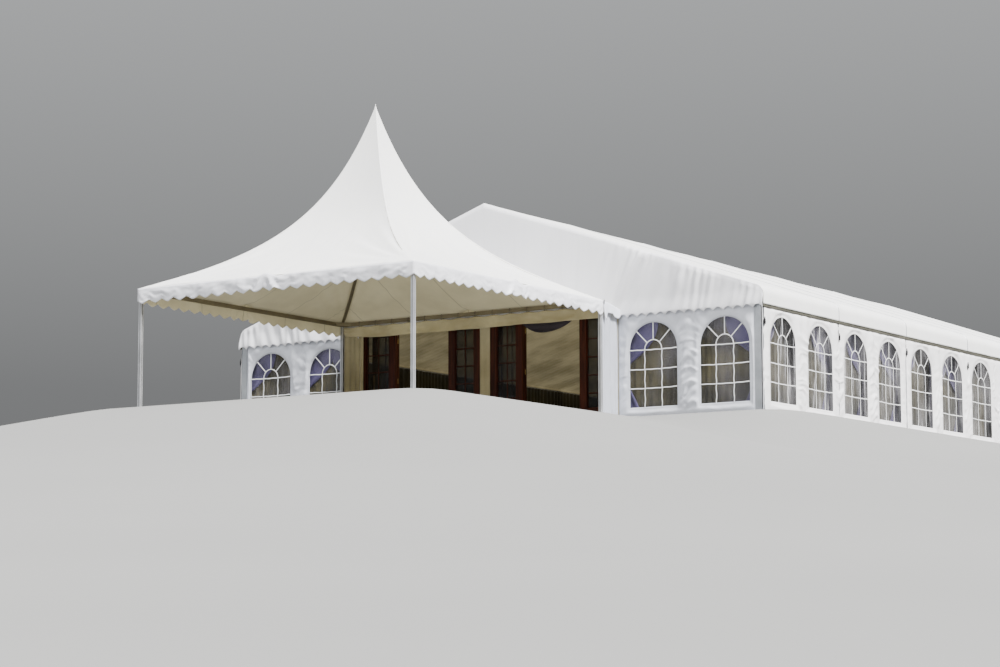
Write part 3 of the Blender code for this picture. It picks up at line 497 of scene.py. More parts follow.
def finished_piece(name, mesh, finish, thickness, inside=None):
    """A smooth piece with its finish, grown inwards to its thickness."""
    mesh.materials.append(FINISHES[finish])
    if inside:
        mesh.materials.append(FINISHES[inside])
    mesh.shade_smooth()
    piece = linked(name, mesh)
    if thickness:
        wall = piece.modifiers.new("thickness", "SOLIDIFY")
        wall.thickness = thickness
        wall.offset = -1.0
        wall.use_rim = True
        if inside:
            wall.material_offset = 1
    return piece


def circle(sides):
    """Cosine and sine at each corner of a round ring."""
    angles = [2 * math.pi * j / sides for j in range(sides)]
    return [(math.cos(angle), math.sin(angle)) for angle in angles]


class Shape:
    """A rigid mesh in the making, from chamfered bars, tubes and turned parts."""

    def __init__(self):
        self.builder = bmesh.new()

    def bar(self, low, high, chamfer):
        centre = [(a + b) / 2 for a, b in zip(low, high)]
        size = [b - a for a, b in zip(low, high)]
        move = Matrix.Translation(centre) @ Matrix.Diagonal((*size, 1.0))
        made = bmesh.ops.create_cube(self.builder, size=1.0, matrix=move)
        edges = list(dict.fromkeys(edge for vertex in made["verts"] for edge in vertex.link_edges))
        bmesh.ops.bevel(self.builder, geom=edges, offset=chamfer, segments=1, profile=0.5, affect="EDGES")

    def skin(self, rings, closed=False):
        """Faces from ring to ring, with flat ends unless the last ring meets the first."""
        rings = [[self.builder.verts.new(corner) for corner in ring] for ring in rings]
        following = rings[1:] + rings[:1] if closed else rings[1:]
        for first, second in zip(rings, following):
            for j in range(len(first)):
                k = (j + 1) % len(first)
                self.builder.faces.new((first[j], first[k], second[k], second[j]))
        if not closed:
            self.builder.faces.new(rings[0])
            self.builder.faces.new(rings[-1])

    def tube(self, path, radius, sides, closed=False):
        """A round tube along a path."""
        path = [Vector(point) for point in path]
        count = len(path)
        rings = []
        side = None
        for i, point in enumerate(path):
            before = path[i - 1] if closed or i else point
            after = path[(i + 1) % count] if closed or i < count - 1 else point
            along = (after - before).normalized()
            if side is None:
                side = along.orthogonal().normalized()
            side = (side - along * side.dot(along)).normalized()
            over = along.cross(side)
            rings.append([point + (side * cos + over * sin) * radius for cos, sin in circle(sides)])
        self.skin(rings, closed)

    def turned(self, profile, place, axis, sides):
        """A part turned on a lathe: (radius, height) from one end to the other along Y or Z."""
        turn = Matrix.Rotation(-math.pi / 2, 4, "X") if axis == "Y" else Matrix()
        move = Matrix.Translation(place) @ turn
        self.skin(
            [
                [move @ Vector((radius * cos, radius * sin, height)) for cos, sin in circle(sides)]
                for radius, height in profile
            ]
        )

    def mesh(self, name):
        made = bpy.data.meshes.new(name)
        bmesh.ops.recalc_face_normals(self.builder, faces=self.builder.faces)
        self.builder.to_mesh(made)
        self.builder.free()
        return made


def rigid_piece(name, mesh, finish, slot_name="frame_alloy", body="marquee"):
    """A rigid mesh as a piece, smooth but for its edges."""
    mesh.name = name
    if not mesh.materials:
        mesh.materials.append(FINISHES[finish])
    mesh.shade_smooth()
    mesh.set_sharp_from_angle(angle=math.radians(32.0))
    fitted(linked(name, mesh), slot_name, body=body)


def cloth_area(points):
    """Surface of a grid of points, which is the flat area of a sheet that doesn't stretch."""
    first = np.cross(points[1:, :-1] - points[:-1, :-1], points[:-1, 1:] - points[:-1, :-1])
    second = np.cross(points[1:, :-1] - points[1:, 1:], points[:-1, 1:] - points[1:, 1:])
    return float(np.linalg.norm(first, axis=2).sum() + np.linalg.norm(second, axis=2).sum()) / 2


def smooth(value, low, high):
    """Nought below low, one above high, and a smooth rise between."""
    share = min(max((value - low) / (high - low), 0.0), 1.0)
    return share * share * (3.0 - 2.0 * share)


def rough(x, y, z=0.0):
    """Noise of about -1 to 1 that is the same at each run."""
    return noise.noise(Vector((x + SEED, y - SEED, z + SEED)))


def lengths_along(line):
    """The length so far at each point of a line."""
    lengths = [0.0]
    for last, here in zip(line[:-1], line[1:]):
        lengths.append(lengths[-1] + math.dist(last, here))
    return lengths


def fitted(piece, slot_name, *nodes, body="marquee"):
    """Fixes the piece to its body and hides the solids it stands for. The slot name is not used."""
    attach(piece, body)
    if nodes:
        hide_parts(*nodes)


# Camera, floor and light


def make_camera():
    """The photograph's viewpoint."""
    data = bpy.data.cameras.new("camera")
    data.lens = CAMERA_LENS
    data.sensor_fit = "HORIZONTAL"
    data.sensor_width = SENSOR_WIDTH
    data.clip_end = FAR_END
    camera = linked("camera", data)
    turn = Matrix.Rotation(math.radians(CAMERA_HEADING), 4, "Z")
    tilt = Matrix.Rotation(math.radians(90.0 + CAMERA_PITCH), 4, "X")
    roll = Matrix.Rotation(math.radians(CAMERA_ROLL), 4, "Z")
    camera.matrix_world = Matrix.Translation(CAMERA_PLACE) @ turn @ tilt @ roll
    bpy.context.scene.camera = camera


# The floor: a terrace, its bank, and how far and how fine it is drawn
TERRACE_MARGIN = 0.32
TERRACE_EDGE = 0.5
BANK_DEPTH = 6.4
BANK_SLOPE = 0.23
FLOOR_STEP = 0.25
FLOOR_GROWTH = 1.18
FLOOR_REACH = 320.0


def outside(point, low, high):
    """How far a point on the ground lies outside a rectangle."""
    x = max(low[0] - point[0], 0.0, point[0] - high[0])
    y = max(low[1] - point[1], 0.0, point[1] - high[1])
    return math.hypot(x, y)


def ground_z(x, y):
    """A level terrace under the tent, and a bank that falls away round it."""
    marquee = outside((x, y), (-ROOF_OUT, 0.0), (ROOF_OUT, LENGTH))
    canopy = outside((x, y), (-CANOPY_HALF, CANOPY_LOW.y), (CANOPY_HALF, 0.0))
    away = max(min(marquee, canopy) - TERRACE_MARGIN, 0.0)
    eased = away * away / (away + TERRACE_EDGE)
    return -BANK_DEPTH * (1.0 - math.exp(-BANK_SLOPE * eased / BANK_DEPTH))


def spaced(low, high):
    """Places that are a step apart between low and high and further and further apart beyond."""
    places = list(np.arange(low, high + FLOOR_STEP / 2, FLOOR_STEP))
    gap = FLOOR_STEP
    while places[-1] < FLOOR_REACH:
        gap *= FLOOR_GROWTH
        places.append(places[-1] + gap)
    gap = FLOOR_STEP
    while places[0] > -FLOOR_REACH:
        gap *= FLOOR_GROWTH
        places.insert(0, places[0] - gap)
    return places


def make_floor():
    """The floor under and round the tent, which the renders show and the part leaves out."""
    xs = spaced(-8.0, 8.0)
    ys = spaced(-9.0, LENGTH + 2.0)
    points = np.array([[(x, y, ground_z(x, y)) for x in xs] for y in ys])
    floor = sheet_piece("floor", points, points[:, :, :2], "ground", (0, 0, -500), thickness=0.0)


# name, strength, turn, softness (both in degrees), colour
SUNS = (
    ("key_light", 13.5, (38.0, 0.0, 77.0), 14.0, (1.0, 0.985, 0.965)),
    ("fill_light", 0.4, (60.0, 0.0, 10.0), 60.0, (0.93, 0.95, 1.0)),
)
# height in the sky and its brightness there
SKY = ((0.0, 0.15), (0.10, 0.21), (0.45, 0.80), (1.0, 2.6))
SKY_TINT = (0.965, 0.985, 1.0)
ROOM_LAMPS = 3
ROOM_LAMP_Z = 1.7
ROOM_LAMP_POWER = 110.0
ROOM_LAMP_RADIUS = 0.8
ROOM_LAMP_COLOUR = (1.0, 0.95, 0.86)


def add_lamp(name, kind, energy, colour):
    data = bpy.data.lights.new(name, kind)
    data.energy = energy
    data.color = colour
    return linked(name, data)


def make_light():
    """A soft key from the right, a broad fill, a grey backdrop and the glow inside the marquee."""
    world = bpy.data.worlds.new("soft_studio")
    bpy.context.scene.world = world
    world.use_nodes = True
    tree = world.node_tree
    point = tree.nodes.new("ShaderNodeTexCoord")
    split = tree.nodes.new("ShaderNodeSeparateXYZ")
    ramp = tree.nodes.new("ShaderNodeValToRGB")
    brightest = SKY[-1][1]
    stops = [(place, tinted(SKY_TINT, shade / brightest)) for place, shade in SKY]
    Finish.set_stops(ramp.color_ramp, stops)
    tree.links.new(point.outputs["Generated"], split.inputs[0])
    tree.links.new(split.outputs[2], ramp.inputs[0])
    back = tree.nodes["Background"]
    tree.links.new(ramp.outputs[0], back.inputs[0])
    back.inputs[1].default_value = brightest
    for name, energy, turn, softness, colour in SUNS:
        lamp = add_lamp(name, "SUN", energy, colour)
        lamp.rotation_euler = Euler([math.radians(part) for part in turn])
        lamp.data.angle = math.radians(softness)
    for number in range(ROOM_LAMPS):
        lamp = add_lamp(f"room_lamp_{number + 1}", "POINT", ROOM_LAMP_POWER, ROOM_LAMP_COLOUR)
        lamp.location = (0.0, LENGTH * (number + 0.5) / ROOM_LAMPS, ROOM_LAMP_Z)
        lamp.data.shadow_soft_size = ROOM_LAMP_RADIUS
        lamp.visible_camera = False
        lamp.visible_glossy = False


# Roof


FASCIA_STEPS = 7
KNEE_STEPS = 7
SLOPE_STEP = 0.16
KNEE_X = ROOF_OUT - KNEE_RADIUS
KNEE_Z = RIDGE_Z - KNEE_X * math.tan(PITCH) - KNEE_RADIUS / math.cos(PITCH)


def roof_half_line():
    """Right half of the roof's section from hem to ridge: x, z and the outward direction."""
    line = []
    for i in range(FASCIA_STEPS):
        z = ROOF_HEM_Z + (KNEE_Z - ROOF_HEM_Z) * i / FASCIA_STEPS
        line.append((ROOF_OUT, z, 1.0, 0.0))
    for i in range(KNEE_STEPS + 1):
        angle = (math.pi / 2 - PITCH) * i / KNEE_STEPS
        cos, sin = math.cos(angle), math.sin(angle)
        line.append((KNEE_X + KNEE_RADIUS * cos, KNEE_Z + KNEE_RADIUS * sin, cos, sin))
    start = line[-1][0]
    steps = round(start / SLOPE_STEP)
    for i in range(1, steps + 1):
        x = start * (1 - i / steps)
        line.append((x, RIDGE_Z - x * math.tan(PITCH), math.sin(PITCH), math.cos(PITCH)))
    return line


def roof_section():
    """The whole section from the right hem over the ridge to the left hem, with its length so far."""
    half = roof_half_line()
    ridge = (half[-1][0], half[-1][1], 0.0, 1.0)
    whole = half[:-1] + [ridge] + [(-x, z, -nx, nz) for x, z, nx, nz in reversed(half[:-1])]
    return whole, lengths_along([(x, z) for x, z, *_ in whole])


ROOF_COLUMNS = 34
ROOF_SAG = 0.034
ROOF_RIDGE_SAG = 0.012
ROOF_SWELL = 0.010
ROOF_FASCIA_WAVE = 0.011
PUCKER_STEP = 0.115
PUCKER_DEPTH = 0.0045
PUCKER_REACH = 0.16


def roof_cover(number):
    """One bay's roof sheet, with a belly, puckers along its two edges and a wavy fascia."""
    low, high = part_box(f"roof_sheet_{number}")
    section, lengths = roof_section()
    total = lengths[-1]

    def spot(i, j):
        x, z, nx, nz = section[j]
        s = lengths[j]
        # closer columns at the two edges, where the sheet puckers
        share = 0.5 - 0.5 * math.cos(math.pi * i / ROOF_COLUMNS)
        y = low.y + (high.y - low.y) * share
        edge = min(y - low.y, high.y - y)
        from_ridge = abs(s - total / 2) / (total / 2)
        slope = smooth(1.0 - from_ridge, 0.06, 0.25)
        sag = ROOF_RIDGE_SAG + (ROOF_SAG - ROOF_RIDGE_SAG) * smooth(from_ridge, 0.0, 0.35)
        sag *= math.sin(math.pi * share) ** 0.8
        pucker = PUCKER_DEPTH * math.sin(2 * math.pi * s / PUCKER_STEP + 2.5 * rough(s * 1.7, number))
        pucker *= math.exp(-edge / PUCKER_REACH) * smooth(edge, 0.0, 0.05)
        swell = ROOF_SWELL * rough(s * 0.9, y * 1.1, number) * smooth(edge, 0.0, 0.4)
        flutter = rough(y * 2.3, number * 3.0) + 0.5 * rough(y * 6.0, s)
        wave = ROOF_FASCIA_WAVE * (0.55 + flutter) * (1.0 - slope) * smooth(edge, 0.0, 0.25)
        move = (pucker + swell - sag) * slope + max(wave, 0.0)
        return (x + nx * move, y, z + nz * move), (y, s)

    points, cut = grid(ROOF_COLUMNS, len(section) - 1, spot)
    piece = sheet_piece(f"roof_cover_{number}", points, cut, "roof")
    fitted(piece, "roof_pvc", f"roof_sheet_{number}")


# Gables


def gable_top(x):
    """Height of the roof's outer line over a place across the gable."""
    reach = abs(x)
    if reach > KNEE_X + KNEE_RADIUS * math.sin(PITCH):
        run = min(reach - KNEE_X, KNEE_RADIUS)
        return KNEE_Z + math.sqrt(KNEE_RADIUS**2 - run**2)
    return RIDGE_Z - reach * math.tan(PITCH)


def lobe(share, pointed=0.0):
    """Depth of a scalloped hem at a share of one lobe: one in its middle, nought at its ends."""
    share %= 1.0
    return (1.0 - pointed) * math.sin(math.pi * share) + pointed * (1.0 - abs(2.0 * share - 1.0))


# what the canopy covers of the front gable: half its width, and the plain hem behind it
COVERED_HALF = 2.93
COVERED_HEM_Z = 2.035
GABLE_LOW_Z = GABLE_VALANCE_Z - GABLE_SCALLOP_DEPTH


def gable_hem(x, front):
    """Round notches with pointed tips between them; plain and higher behind the canopy."""
    if front and abs(x) < COVERED_HALF:
        return COVERED_HEM_Z
    wave = lobe(GABLE_SCALLOPS * (x + ROOF_OUT) / (2 * ROOF_OUT))
    return GABLE_VALANCE_Z - GABLE_SCALLOP_DEPTH * (1.0 - wave)


GABLE_ROWS = 26
SCALLOP_STEPS = 8
GABLE_FLARE = 0.032
RAFTER_FOLD_STEP = 0.150
RAFTER_FOLD_DEPTH = 0.027
RAFTER_FOLD_REACH = 0.42
LONG_FOLD_STEP = 0.36
LONG_FOLD_DEPTH = 0.024
CREASE_DEPTH = 0.020
CORNER_PULL_DEPTH = 0.030
CANOPY_PULL_DEPTH = 0.034


def gable_fold(x, z):
    """How far the gable's cloth stands out: gathered folds below the rafters, smooth in the middle."""
    reach = abs(x)
    loose = smooth(reach, 2.3, 3.3)
    below = max(gable_top(x) - z, 0.0)
    hang = smooth(below, 0.0, 0.10) * smooth(z - GABLE_LOW_Z, 0.0, 0.06)
    # gathers below the rafter that lean towards the canopy, more so nearer to it
    tilt = 0.16 + 0.24 * smooth(4.6 - reach, 0.0, 1.4)
    fan = reach + tilt * below
    phase = 2 * math.pi * fan / RAFTER_FOLD_STEP + 4.0 * rough(fan * 1.1, 4.0)
    gather = RAFTER_FOLD_DEPTH * (1.0 + math.sin(phase))
    gather *= 0.15 + 0.85 * math.exp(-below / RAFTER_FOLD_REACH)
    gather *= max(0.5 + 1.5 * rough(fan * 1.6, 3.0), 0.0)
    gather += CREASE_DEPTH * abs(rough(fan * 3.1, z * 0.8, 6.0)) * smooth(reach, 3.0, 4.2)
    gather += CORNER_PULL_DEPTH * math.exp(-(((fan - 4.45) / 0.13) ** 2)) * smooth(below, 0.05, 0.5)
    # long slack folds that lean the same way
    lean = reach - 0.42 * (z - 1.95)
    drape = 1.0 + math.sin(2 * math.pi * lean / LONG_FOLD_STEP + 4.0 * rough(lean * 0.8, 4.0))
    drape *= LONG_FOLD_DEPTH * smooth(below, 0.05, 0.4) * (0.35 + 1.1 * abs(rough(lean * 0.9, 7.0)))
    # one that the canopy's corner pulls
    run = reach - 2.85 - (z - 1.95) * 0.62
    drag = CANOPY_PULL_DEPTH * math.exp(-((run / 0.09) ** 2)) * smooth(z, 1.95, 2.3)
    swell = 0.008 * (1.0 + rough(x * 0.8, z * 1.1)) * smooth(z, 2.2, 2.6)
    flare = GABLE_FLARE * (1.0 + 0.45 * rough(x * 2.6, 7.0)) * smooth(GABLE_VALANCE_Z + 0.30 - z, 0.0, 0.34)
    return ((gather + drape + drag) * loose + swell) * hang + flare


def gable_cover(label, node, face, outwards):
    """The cloth of one gable, from the roof's line down to its scalloped valance."""
    columns = GABLE_SCALLOPS * SCALLOP_STEPS

    def spot(i, j):
        x = -ROOF_OUT + 2 * ROOF_OUT * j / columns
        low, top = gable_hem(x, label == "front"), gable_top(x)
        z = low + (top - low) * (i / GABLE_ROWS) ** 1.25
        return (x, face + outwards * gable_fold(x, z), z), (x, z)

    points, cut = grid(GABLE_ROWS, columns, spot)
    piece = sheet_piece(f"gable_cover_{label}", points, cut, "gable")
    fitted(piece, "roof_pvc", node)


# Walls with arched windows


WINDOW_MIDDLE_Z = (WINDOW_SILL + SPRINGING_Z) / 2
TINY = 1e-9


def arch_reach(direction_u, direction_z):
    """Distance from the window's middle to its edge in this direction."""
    reach = 1.0 / TINY
    if abs(direction_u) > TINY:
        reach = min(reach, ARCH_RADIUS / abs(direction_u))
    if direction_z < -TINY:
        reach = min(reach, (WINDOW_SILL - WINDOW_MIDDLE_Z) / direction_z)
    if WINDOW_MIDDLE_Z + reach * direction_z > SPRINGING_Z:
        drop = WINDOW_MIDDLE_Z - SPRINGING_Z
        b = drop * direction_z
        c = drop * drop - ARCH_RADIUS**2
        reach = -b + math.sqrt(b * b - c)
    return reach


def rectangle_points(left, right, low, high, across, upright):
    """Points round a rectangle, anticlockwise from its lower left corner."""
    points = [(left + (right - left) * i / across, low) for i in range(across)]
    points += [(right, low + (high - low) * i / upright) for i in range(upright)]
    points += [(right - (right - left) * i / across, high) for i in range(across)]
    points += [(left, high - (high - low) * i / upright) for i in range(upright)]
    return points


def edge_point(centre, target):
    """Point of the window's edge that faces a point outside it."""
    du, dz = target[0] - centre, target[1] - WINDOW_MIDDLE_Z
    long = math.hypot(du, dz)
    reach = arch_reach(du / long, dz / long)
    return centre + reach * du / long, WINDOW_MIDDLE_Z + reach * dz / long


def snapped_to_sill(points, centre):
    """The points with the nearest ones put on the window's two lower corners."""
    points = list(points)
    for side in (-1, 1):
        corner = (centre + side * ARCH_RADIUS, WINDOW_SILL)
        nearest = min(range(len(points)), key=lambda i: math.dist(points[i], corner))
        points[nearest] = corner
    return points


WALL_RINGS = 10
WALL_ACROSS = 22
WALL_UPRIGHT = 76


def window_module(left, right, low, high, centre):
    """Rings of points from the window's edge out to the edge of its part of the wall."""
    frame_points = rectangle_points(left, right, low, high, WALL_ACROSS, WALL_UPRIGHT)
    edge = snapped_to_sill([edge_point(centre, point) for point in frame_points], centre)
    rings = []
    for i in range(WALL_RINGS + 1):
        share = i / WALL_RINGS
        pairs = zip(edge, frame_points)
        rings.append([(u0 + (u1 - u0) * share, z0 + (z1 - z0) * share) for (u0, z0), (u1, z1) in pairs])
    return rings, edge


WALL_FOLD_STEP = 0.31
WALL_FOLD_DEPTH = 0.016
WALL_DRAPE_DEPTH = 0.015
WALL_CRUMPLE_DEPTH = 0.028
SLUMP_STEP = 0.12
SLUMP_DEPTH = 0.056
END_STRIP_SLUMP = 0.45


def wall_crease(u, z, away, strip):
    """How far a wall's cloth stands out at a place this far from the nearest window."""
    from_top = smooth(z, 0.9, 1.85)
    phase = 2 * math.pi * (u + 0.05 * (z - 1.9)) / WALL_FOLD_STEP + 3.0 * rough(u * 0.7, 2.0)
    folds = WALL_FOLD_DEPTH * (1.0 + math.sin(phase)) * from_top * (0.6 + 0.8 * abs(rough(u * 0.9, 6.0)))
    drape = WALL_DRAPE_DEPTH * (1.0 + rough(u * 1.8, z * 0.9, 5.0))
    crumple = WALL_CRUMPLE_DEPTH * abs(rough(u * 4.6 + 0.8 * rough(u * 3, z * 3), z * 5.2, 9.0))
    # between two windows the narrow strip slumps into creases that wander
    lean = 1.3 * rough(u * 1.9, z * 0.6, 3.0)
    bend = z / SLUMP_STEP + 2.4 * rough(u * 1.4, z * 2.1, 3.0) + lean * u
    slump = SLUMP_DEPTH * max(rough(bend * 1.35, u * 2.2 + lean, 8.0), 0.0) * strip
    slump *= smooth(z, 0.05, 0.3) * (1.0 - 0.6 * smooth(z, 1.2, 1.6))
    free = smooth(away, 0.030, 0.11)
    # the top is held flat behind the gable's valance
    held = 1.0 - 0.8 * smooth(z, 1.82, 2.0)
    return ((folds + drape + crumple) * 0.85 + slump) * free * held


def wall_piece(name, windows, axis, to_world, node, finish):
    """A wall of window modules along the node's X (axis 0) or Y (1), joined along their edges."""
    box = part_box(node)
    left, low, right, high = box[0][axis], box[0].z, box[1][axis], box[1].z
    points, faces, places, seen = [], [], [], {}

    def corner(u, z, away, strip):
        key = (round(u, 4), round(z, 4))
        if key not in seen:
            seen[key] = len(points)
            hold = smooth(z - low, 0.0, 0.08) * smooth(high - z, 0.0, 0.05)
            ends = smooth(u - left, 0.0, 0.06) * smooth(right - u, 0.0, 0.06)
            points.append(to_world(u, z, wall_crease(u, z, away, strip) * hold * ends))
        return seen[key]

    last = len(windows) - 1
    for number, centre in enumerate(windows):
        start = left if number == 0 else (windows[number - 1] + centre) / 2
        end = right if number == last else (centre + windows[number + 1]) / 2
        rings, edge = window_module(start, end, low, high, centre)
        ids = []
        for ring in rings:
            row = []
            for (u, z), at_edge in zip(ring, edge):
                beside = abs(u - centre) - ARCH_RADIUS
                between = (u < centre and number > 0) or (u > centre and number < last)
                strip = smooth(beside, 0.0, 0.08) * (1.0 if between else END_STRIP_SLUMP)
                row.append(corner(u, z, math.dist((u, z), at_edge), strip if beside > 0.01 else 0.0))
            ids.append(row)
        for i in range(WALL_RINGS):
            for j in range(len(edge)):
                k = (j + 1) % len(edge)
                face = (ids[i][j], ids[i + 1][j], ids[i + 1][k], ids[i][k])
                if len(set(face)) == 4:
                    faces.append(face)
                    places.append((rings[i][j], rings[i + 1][j], rings[i + 1][k], rings[i][k]))
    mesh = cloth_mesh(name, np.array(points), np.array(faces), np.array(places), MIDDLE)
    piece = finished_piece(name, mesh, finish, PVC_THICKNESS)
    fitted(piece, "wall_pvc", node)


def side_place(side, face):
    """Turns a place on a side wall, and how far out it stands, into a point."""
    return lambda u, z, out: (side * (face + out), u, z)


def gable_place(face, outwards):
    """The same for a wall across a gable."""
    return lambda u, z, out: (u, face + outwards * out, z)


# Windows: clear film and printed bars


BAR_WIDTH = 0.018
BAR_THICKNESS = 0.0015
BAR_WIGGLE = 0.0055
BAR_HEIGHTS = (0.55, 0.90, 1.26)
BAR_DROOP = 0.010
BAR_OFFSET = 0.18
FAN_RADIUS = 0.18
FAN_ANGLES = (45.0, 90.0, 135.0)
FILM_LAP = 0.03
# points along a cross bar, an upright bar, the fan's arc and one of its spokes
BAR_STEPS, UPRIGHT_STEPS, ARC_STEPS, SPOKE_STEPS = 24, 32, 16, 8


def bar_lines():
    """Centre lines of one window's printed bars: (u, z) from the window's middle line."""
    lines = []
    for z in BAR_HEIGHTS:
        reach = ARCH_RADIUS
        if z > SPRINGING_Z:
            reach = math.sqrt(ARCH_RADIUS**2 - (z - SPRINGING_Z) ** 2)
        line = []
        for i in range(BAR_STEPS + 1):
            u = -reach + 2 * reach * i / BAR_STEPS
            line.append((u, z - BAR_DROOP * (1.0 - (u / reach) ** 2) + 0.002 * math.sin(u * 31.0)))
        lines.append(line)
    for side in (-1, 1):
        height = SPRINGING_Z - WINDOW_SILL
        heights = [WINDOW_SILL + height * i / UPRIGHT_STEPS for i in range(UPRIGHT_STEPS + 1)]
        lines.append([(side * BAR_OFFSET + BAR_WIGGLE * math.sin(z * 26.0 + side), z) for z in heights])
    arc = [math.pi * i / ARC_STEPS for i in range(ARC_STEPS + 1)]
    lines.append([(FAN_RADIUS * math.cos(a), SPRINGING_Z + FAN_RADIUS * math.sin(a)) for a in arc])
    for degrees in FAN_ANGLES:
        angle = math.radians(degrees)
        spoke = ARCH_RADIUS - FAN_RADIUS
        reaches = [FAN_RADIUS + spoke * i / SPOKE_STEPS for i in range(SPOKE_STEPS + 1)]
        lines.append([(reach * math.cos(angle), SPRINGING_Z + reach * math.sin(angle)) for reach in reaches])
    return lines


def node_tree(name, inputs, output, kinds, links):
    """A tree of nodes with named inputs. Links join NODE.SOCKET to NODE.SOCKET, in place order."""
    tree = bpy.data.node_groups.new(name, "GeometryNodeTree")
    sockets = {}
    for label, kind in inputs:
        made = tree.interface.new_socket(label, in_out="INPUT", socket_type=f"NodeSocket{kind}")
        sockets[label] = made.identifier
    tree.interface.new_socket(output, in_out="OUTPUT", socket_type="NodeSocketGeometry")
    nodes = {"given": tree.nodes.new("NodeGroupInput"), "result": tree.nodes.new("NodeGroupOutput")}
    for label, kind in kinds.items():
        nodes[label] = tree.nodes.new(f"GeometryNode{kind}")
    for (source, out), (target, into) in links:
        tree.links.new(nodes[source].outputs[out], nodes[target].inputs[into])
    return tree, nodes, sockets


def bar_tree():
    """Sweeps a flat bar along each line and sets the whole at each window along a wall."""
    inputs = (
        ("Lines", "Geometry"), ("Bar width", "Float"), ("Bar thickness", "Float"),
        ("First window", "Vector"), ("Window step", "Vector"), ("Windows", "Int"), ("Finish", "Material"),
    )
    kinds = {
        "curve": "MeshToCurve",
        "section": "CurvePrimitiveQuadrilateral",
        "sweep": "CurveToMesh",
        "row": "MeshLine",
        "copies": "InstanceOnPoints",
        "real": "RealizeInstances",
        "coat": "SetMaterial",
    }
    links = (
        (("given", "Lines"), ("curve", "Mesh")),
        (("given", "Bar width"), ("section", "Width")),
        (("given", "Bar thickness"), ("section", "Height")),
        (("curve", 0), ("sweep", "Curve")),
        (("section", 0), ("sweep", "Profile Curve")),
        (("given", "Windows"), ("row", "Count")),
        (("given", "First window"), ("row", "Start Location")),
        (("given", "Window step"), ("row", "Offset")),
        (("row", 0), ("copies", "Points")),
        (("sweep", 0), ("copies", "Instance")),
        (("copies", 0), ("real", 0)),
        (("real", 0), ("coat", "Geometry")),
        (("given", "Finish"), ("coat", "Material")),
        (("coat", 0), ("result", 0)),
    )
    tree, nodes, sockets = node_tree("window_bars", inputs, "Bars", kinds, links)
    nodes["row"].mode = "OFFSET"
    nodes["sweep"].inputs["Fill Caps"].default_value = True
    return tree, sockets


def set_out_tree():
    """Sets a pattern piece at each point of a mesh."""
    inputs = (("Places", "Geometry"), ("Pattern", "Object"), ("Finish", "Material"))
    kinds = {
        "info": "ObjectInfo",
        "copies": "InstanceOnPoints",
        "real": "RealizeInstances",
        "coat": "SetMaterial",
    }
    links = (
        (("given", "Places"), ("copies", "Points")),
        (("given", "Pattern"), ("info", "Object")),
        (("info", "Geometry"), ("copies", "Instance")),
        (("copies", 0), ("real", 0)),
        (("real", 0), ("coat", "Geometry")),
        (("given", "Finish"), ("coat", "Material")),
        (("coat", 0), ("result", 0)),
    )
    tree, _, sockets = node_tree("set_out", inputs, "Row", kinds, links)
    return tree, sockets


BAR_TREE = bar_tree()
SET_OUT_TREE = set_out_tree()


def made_by_nodes(name, mesh, tree, values):
    """The plain mesh that a node tree makes of this one."""
    group, sockets = tree
    start = linked(name, mesh)
    maker = start.modifiers.new("maker", "NODES")
    maker.node_group = group
    for label, value in values.items():
        maker[sockets[label]] = value
    bpy.context.view_layer.update()
    graph = bpy.context.evaluated_depsgraph_get()
    made = bpy.data.meshes.new_from_object(start.evaluated_get(graph))
    start.modifiers.remove(maker)
    bpy.data.objects.remove(start, do_unlink=True)
    return made


def row_piece(name, shape, places, finish, slot_name="frame_alloy"):
    """One rigid piece of this shape, set at each of these places."""
    spots = bpy.data.meshes.new(f"{name}_places")
    spots.from_pydata(places, [], [])
    pattern = linked(f"{name}_pattern", shape.mesh(f"{name}_pattern"))
    values = {"Pattern": pattern, "Finish": FINISHES[finish]}
    made = made_by_nodes(name, spots, SET_OUT_TREE, values)
    bpy.data.objects.remove(pattern, do_unlink=True)
    rigid_piece(name, made, finish, slot_name)


def edge_mesh(name, lines):
    """A mesh of edges only, one chain of them for each line."""
    points, edges = [], []
    for line in lines:
        first = len(points)
        points += line
        edges += [(first + i, first + i + 1) for i in range(len(line) - 1)]
    mesh = bpy.data.meshes.new(name)
    mesh.from_pydata(points, edges, [])
    return mesh


def film_wave(u, z):
    """Slack ripples of a window's film."""
    return 0.0035 * rough(u * 1.9, z * 2.3, 1.0) + 0.0012 * rough(u * 6.0, z * 7.0, 2.0)


def bars_for(name, windows, to_world):
    """Printed bars of a wall's windows, raised just off the film."""
    lines = [[(0.0, u, z) for u, z in line] for line in bar_lines()]
    values = {
        "Bar width": BAR_THICKNESS,
        "Bar thickness": BAR_WIDTH,
        "First window": (0.0, windows[0], 0.0),
        "Window step": (0.0, windows[1] - windows[0], 0.0),
        "Windows": len(windows),
        "Finish": FINISHES["bars"],
    }
    mesh = made_by_nodes(name, edge_mesh(name, lines), BAR_TREE, values)
    for vertex in mesh.vertices:
        off, u, z = vertex.co
        vertex.co = to_world(u, z, off + BAR_THICKNESS + film_wave(u, z))
    mesh.name = name
    fitted(linked(name, mesh), "wall_pvc")


FILM_RINGS = 7
# the rectangle that a film's points are drawn towards, and how many it has across and upright
FILM_HALF, FILM_TOP_Z = 0.75, 1.9
FILM_ACROSS, FILM_UPRIGHT = 12, 16


